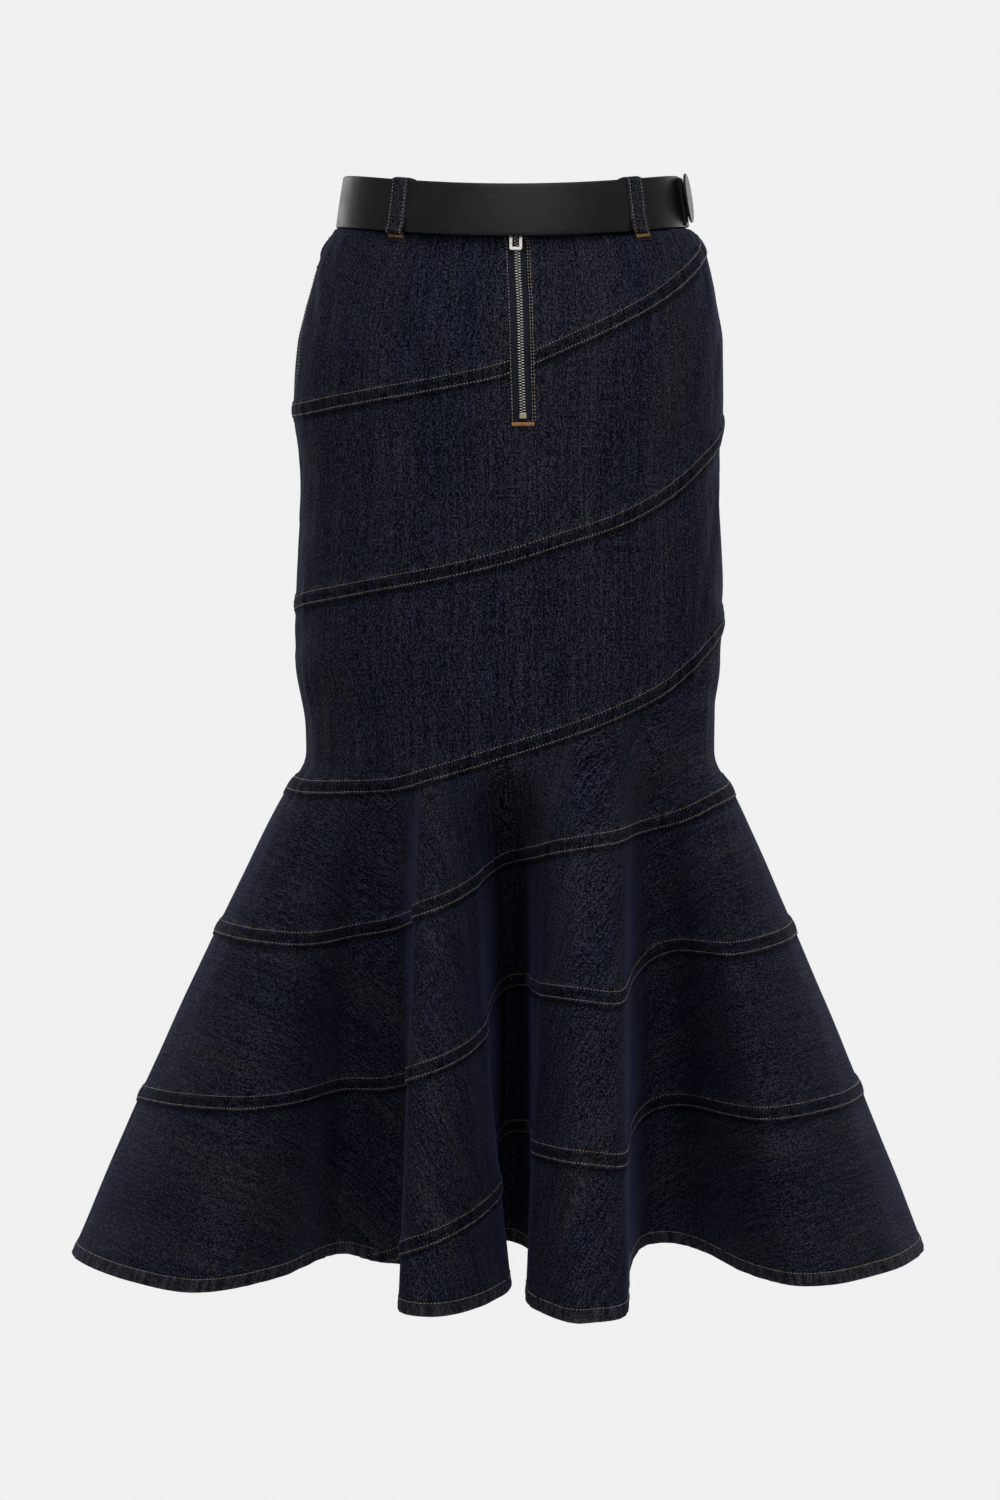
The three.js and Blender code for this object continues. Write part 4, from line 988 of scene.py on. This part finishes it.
# Zip: woven tape, two rows of teeth that mesh, a stop, and the slider with its bridge and tab.
heights = np.concatenate([np.linspace(4.4, -30, 22), np.linspace(-31.5, -178, 90)])
u = np.linspace(-1, 1, 25)
a = centreAngle(heights)[:, None] + 0 * u
z = np.broadcast_to(heights[:, None], a.shape)
_, speed = normals(a, z)
a = a + u * zipSizes["tapeHalf"] / speed
normal, _ = normals(a, z)
ridge = 0.5 * bell(np.abs(u) - 0.30, 0.06)
outer = surface(a, z) + normal * (ridge - zipSizes["behind"])[None, :, None]
inner = surface(a, z) - normal * (zipSizes["behind"] + zipSizes["tapeWall"])
tape = stands(makeWall("zipTape", outer, inner, tapeWeave), "tape", "zip_tape")

tooth = {"width": 2.5, "height": 0.86, "depth": 1.9, "offset": 1.18, "top": 2.4, "bottom": -160.6, "out": -0.35}
theta = np.linspace(0, 2 * np.pi, 10, endpoint=False)
phi = np.array([-0.5, -0.36, -0.12, 0.12, 0.36, 0.5]) * np.pi


def squared(v, power):
    return np.sign(v) * np.abs(v) ** power


# One tooth is a squared ellipsoid: x across, y up, z outwards, each coordinate a root of the round one.
ball = np.stack([
    np.outer(squared(np.sin(phi), 0.45), np.ones(10)),
    np.outer(squared(np.cos(phi), 0.45), squared(np.cos(theta), 0.55)),
    np.outer(squared(np.cos(phi), 0.45), squared(np.sin(theta), 0.55)),
], -1) * np.array([tooth["width"], tooth["height"], tooth["depth"]]) / 2
ids = np.arange(60).reshape(6, 10)
ids = np.hstack([ids, ids[:, :1]])
toothFaces = np.stack([ids[:-1, :-1], ids[:-1, 1:], ids[1:, 1:], ids[1:, :-1]], -1).reshape(-1, 4)
teeth = []
rows = np.arange(tooth["top"], tooth["bottom"], -zipSizes["pitch"])
for side in (-1, 1):
    z = rows - (zipSizes["pitch"] / 2 if side > 0 else 0)
    a = centreAngle(z)
    normal, speed = normals(a, z)
    centre = surface(a, z) + normal * tooth["out"]
    right = unit(surface(a + 0.5, z) - surface(a - 0.5, z))
    up = np.cross(normal, right)
    centre = centre + right * (side * tooth["offset"])
    axes = np.stack([right, up, normal], 1)
    teeth.append((centre[:, None] + np.einsum("kj,nji->nki", ball.reshape(-1, 3), axes)).reshape(-1, 3))
points = np.vstack(teeth)
count = len(points) // 60
faces = (toothFaces[None] + np.arange(count)[:, None, None] * 60).reshape(-1, 4)
stands(makeMesh("zipTeeth", points, faces, nickel, sharp=60), "zip_metal", "zip_chain")


# Axes of the zip at a level: right, up along the cloth, outwards.
def zipFrame(level, out):
    z = level - float(dipAt(90.0))
    a = float(centreAngle(z))
    normal, _ = normals(a, z)
    tilt = math.atan2(normal[2], -normal[1])
    up = np.array([0, math.sin(tilt), math.cos(tilt)])
    outwards = np.array([0, -math.cos(tilt), math.sin(tilt)])
    return surface(a, z) + normal * out, np.array([[1.0, 0, 0], up, outwards])


# A flat plate with rounded edges: a filled curve with holes, made a mesh and then placed on its three axes.
def makePlate(name, outlines, thick, bevel, origin, axes, material):
    curve = bpy.data.curves.new(name, "CURVE")
    curve.dimensions, curve.fill_mode = "2D", "BOTH"
    curve.extrude, curve.bevel_depth, curve.bevel_resolution, curve.offset = thick / 2 - bevel, bevel, 3, -bevel
    for outline in outlines:
        spline = curve.splines.new("POLY")
        spline.points.add(len(outline) - 1)
        rest = np.tile([0.0, 1.0], (len(outline), 1))
        spline.points.foreach_set("co", np.hstack([outline, rest]).ravel())
        spline.use_cyclic_u = True
    shape = bpy.data.objects.new(name, curve)
    bpy.context.scene.collection.objects.link(shape)
    bpy.context.view_layer.update()
    mesh = bpy.data.meshes.new_from_object(shape.evaluated_get(bpy.context.evaluated_depsgraph_get()))
    bpy.data.objects.remove(shape)
    mesh.name = name
    flat = np.empty(len(mesh.vertices) * 3)
    mesh.vertices.foreach_get("co", flat)
    flat = flat.reshape(-1, 3) + [0, 0, thick / 2]
    mesh.vertices.foreach_set("co", metres(origin + flat @ axes).ravel())
    mesh.materials.clear()
    mesh.materials.append(material)
    mesh.shade_smooth()
    mesh.set_sharp_from_angle(angle=math.radians(40))
    mesh.update()
    piece = bpy.data.objects.new(name, mesh)
    bpy.context.scene.collection.objects.link(piece)
    return piece


# A polygon with its corners rounded to a radius each.
def rounded(corners, radius, steps=5):
    corners = np.array(corners, float)
    radius = np.broadcast_to(radius, len(corners))
    out = []
    for k, corner in enumerate(corners):
        before, after = unit(corners[k - 1] - corner), unit(corners[(k + 1) % len(corners)] - corner)
        share = np.linspace(0, 1, steps)[:, None]
        start, end = corner + before * radius[k], corner + after * radius[k]
        out.append((1 - share) ** 2 * start + 2 * share * (1 - share) * corner + share**2 * end)
    return np.vstack(out)


def rectangle(x, y0, y1):
    return [(-x, y0), (x, y0), (x, y1), (-x, y1)]


slider = {"level": 3, "height": 12, "width": 8.6, "waist": 5.4, "back": 0.9, "thick": 1.7}
bridge = {"height": 6.4, "width": 2.4, "leg": 1.1, "rise": 1.5, "roof": 0.9}
tab = {
    "width": 9.8, "neck": 6.4, "length": 38.6, "thick": 1, "eye": 4.2, "eyeWidth": 3.4, "window": 24, "margin": 2.4,
    "tilt": -0.06,
}
origin, axes = zipFrame(slider["level"], slider["back"])
wide, narrow, high = slider["width"] / 2, slider["waist"] / 2, slider["height"]
sliderOutline = rounded([(-narrow, 0), (narrow, 0), (wide, high * 0.55), (wide * 0.8, high), (-wide * 0.8, high),
                         (-wide, high * 0.55)], [0.8, 0.8, 2, 1.2, 1.2, 2])
plate = makePlate("zipSlider", [sliderOutline], slider["thick"], 0.5, origin, axes, nickel)
stands(plate, "zip_metal", "zip_slider")

bridgeOut = slider["back"] + slider["thick"] + cloth["gap"]
origin, axes = zipFrame(slider["level"], bridgeOut)
span, rise, roof, leg = bridge["height"], bridge["rise"], bridge["roof"], bridge["leg"]
arch = rounded([(0, 0), (leg, 0), (leg, rise), (span - leg, rise), (span - leg, 0), (span, 0),
                (span, rise + roof), (0, rise + roof)], [0.1, 0.1, 0.3, 0.3, 0.1, 0.1, 0.9, 0.9])
side = np.array([axes[1], axes[2], axes[0]])
archOrigin = origin + axes[1] * 2.4 - axes[0] * bridge["width"] / 2
plate = makePlate("zipBridge", [arch], bridge["width"], 0.28, archOrigin, side, nickel)
stands(plate, "zip_metal", "zip_slider_bridge")

origin, axes = zipFrame(slider["level"], bridgeOut - cloth["gap"])
top = origin + axes[1] * (2.4 + span - leg - 0.4) + axes[2] * (rise / 2 - tab["thick"] / 2)
cosine, sine = math.cos(tab["tilt"]), math.sin(tab["tilt"])
swing = np.array([axes[0], axes[1] * cosine + axes[2] * sine, axes[2] * cosine - axes[1] * sine])
neck, edge, low = tab["neck"] / 2, tab["width"] / 2, -tab["length"]
tabOutline = rounded([(-neck, 0), (-neck, -tab["eye"] - 5), (-edge, -tab["eye"] - 8), (-edge, low), (edge, low),
                      (edge, -tab["eye"] - 8), (neck, -tab["eye"] - 5), (neck, 0)],
                     [1.6, 1.5, 1.5, 1.8, 1.8, 1.5, 1.5, 1.6])
eye = rounded(rectangle(tab["eyeWidth"] / 2, -tab["eye"] - 1.5, -1.5), 1.0)
window = rounded(rectangle(edge - tab["margin"], low + tab["margin"], -tab["window"]), 0.9)
plate = makePlate("zipTab", [tabOutline, eye, window], tab["thick"], 0.3, top, swing, nickel)
stands(plate, "zip_metal", "zip_pull", on=tabBody)

stopFoot = zipSizes["bottom"] + 1.4
stop = rounded(rectangle(zipSizes["stopHalf"], 0, zipSizes["stopHeight"]), 0.9)
a = float(centreAngle(stopFoot))
normal, _ = normals(a, stopFoot)
right = unit(surface(a + 0.5, stopFoot) - surface(a - 0.5, stopFoot))
stopAxes = np.array([right, np.cross(normal, right), normal])
stopOrigin = surface(a, stopFoot) + normal * (-0.7)
stands(makePlate("zipStop", [stop], 1.6, 0.5, stopOrigin, stopAxes, paleBrass), "stop_metal", "zip_stop")
print("zip made")

# Stage: a pale floor that meets a sky of the same tone, soft lights and the camera.
studio = {"floor": -1.15, "tone": 0.875, "ambient": 0.24, "sideLight": 17, "topLight": 12, "frontLight": 14}
paint = bpy.data.materials.new("studioPaint")
paint.use_nodes = True
paintShader = paint.node_tree.nodes["Principled BSDF"]
paintShader.inputs["Base Color"].default_value = (0, 0, 0, 1)
paintShader.inputs["Specular IOR Level"].default_value = 0.0
paintShader.inputs["Emission Color"].default_value = (1, 1, 1, 1)
paintShader.inputs["Emission Strength"].default_value = studio["tone"]
corners = np.array([(x, y, z) for z in (studio["floor"], 40) for y in (-40, 40) for x in (-40, 40)], float)
room = [(2, 3, 7, 6), (0, 1, 5, 4), (0, 2, 6, 4), (1, 3, 7, 5), (4, 5, 7, 6)]
for name, faces in (("floor", [(0, 1, 3, 2)]), ("backdrop", room)):
    mesh = bpy.data.meshes.new(name)
    mesh.from_pydata(corners.tolist(), [], faces)
    mesh.materials.append(paint)
    screen = bpy.data.objects.new(name, mesh)
    screen.visible_diffuse = screen.visible_glossy = screen.visible_shadow = False
    bpy.context.scene.collection.objects.link(screen)

world = bpy.data.worlds.new("studio")
world.use_nodes = True
world.node_tree.nodes["Background"].inputs["Color"].default_value = (1, 1, 1, 1)
world.node_tree.nodes["Background"].inputs["Strength"].default_value = studio["ambient"]
bpy.context.scene.world = world


def addLight(name, power, size, place, target):
    lamp = bpy.data.lights.new(name, "AREA")
    lamp.energy, lamp.shape, lamp.size, lamp.size_y = power, "RECTANGLE", size[0], size[1]
    light = bpy.data.objects.new(name, lamp)
    light.location = place
    direction = np.array(target, float) - np.array(place, float)
    pitch = math.atan2(direction[2], math.hypot(direction[0], direction[1])) + math.pi / 2
    light.rotation_euler = (pitch, 0, math.atan2(-direction[0], direction[1]))
    bpy.context.scene.collection.objects.link(light)


addLight("leftSoftbox", studio["sideLight"], (1.2, 2.2), (-1.6, 1.9, 0.1), (0, 0, -0.4))
addLight("rightSoftbox", studio["sideLight"], (1.2, 2.2), (1.6, 1.9, 0.1), (0, 0, -0.4))
addLight("topSoftbox", studio["topLight"], (1.6, 1.2), (0.2, -1.2, 1.7), (0, 0, -0.3))
addLight("frontSoftbox", studio["frontLight"], (2.4, 1.4), (0.4, -3.2, 1.4), (0, 0, -0.4))

view = {"place": (-0.0086, -3.0, -0.218), "lens": 92.7, "tilt": 3.86}
camera = bpy.data.cameras.new("camera")
camera.lens, camera.sensor_width = view["lens"], 36
camera.clip_start, camera.clip_end = 0.1, 100
cameraObject = bpy.data.objects.new("camera", camera)
cameraObject.location = view["place"]
cameraObject.rotation_euler = (math.radians(90 - view["tilt"]), 0, 0)
bpy.context.scene.collection.objects.link(cameraObject)
bpy.context.scene.camera = cameraObject
bpy.context.scene.view_settings.view_transform = "Standard"
print("stage made")
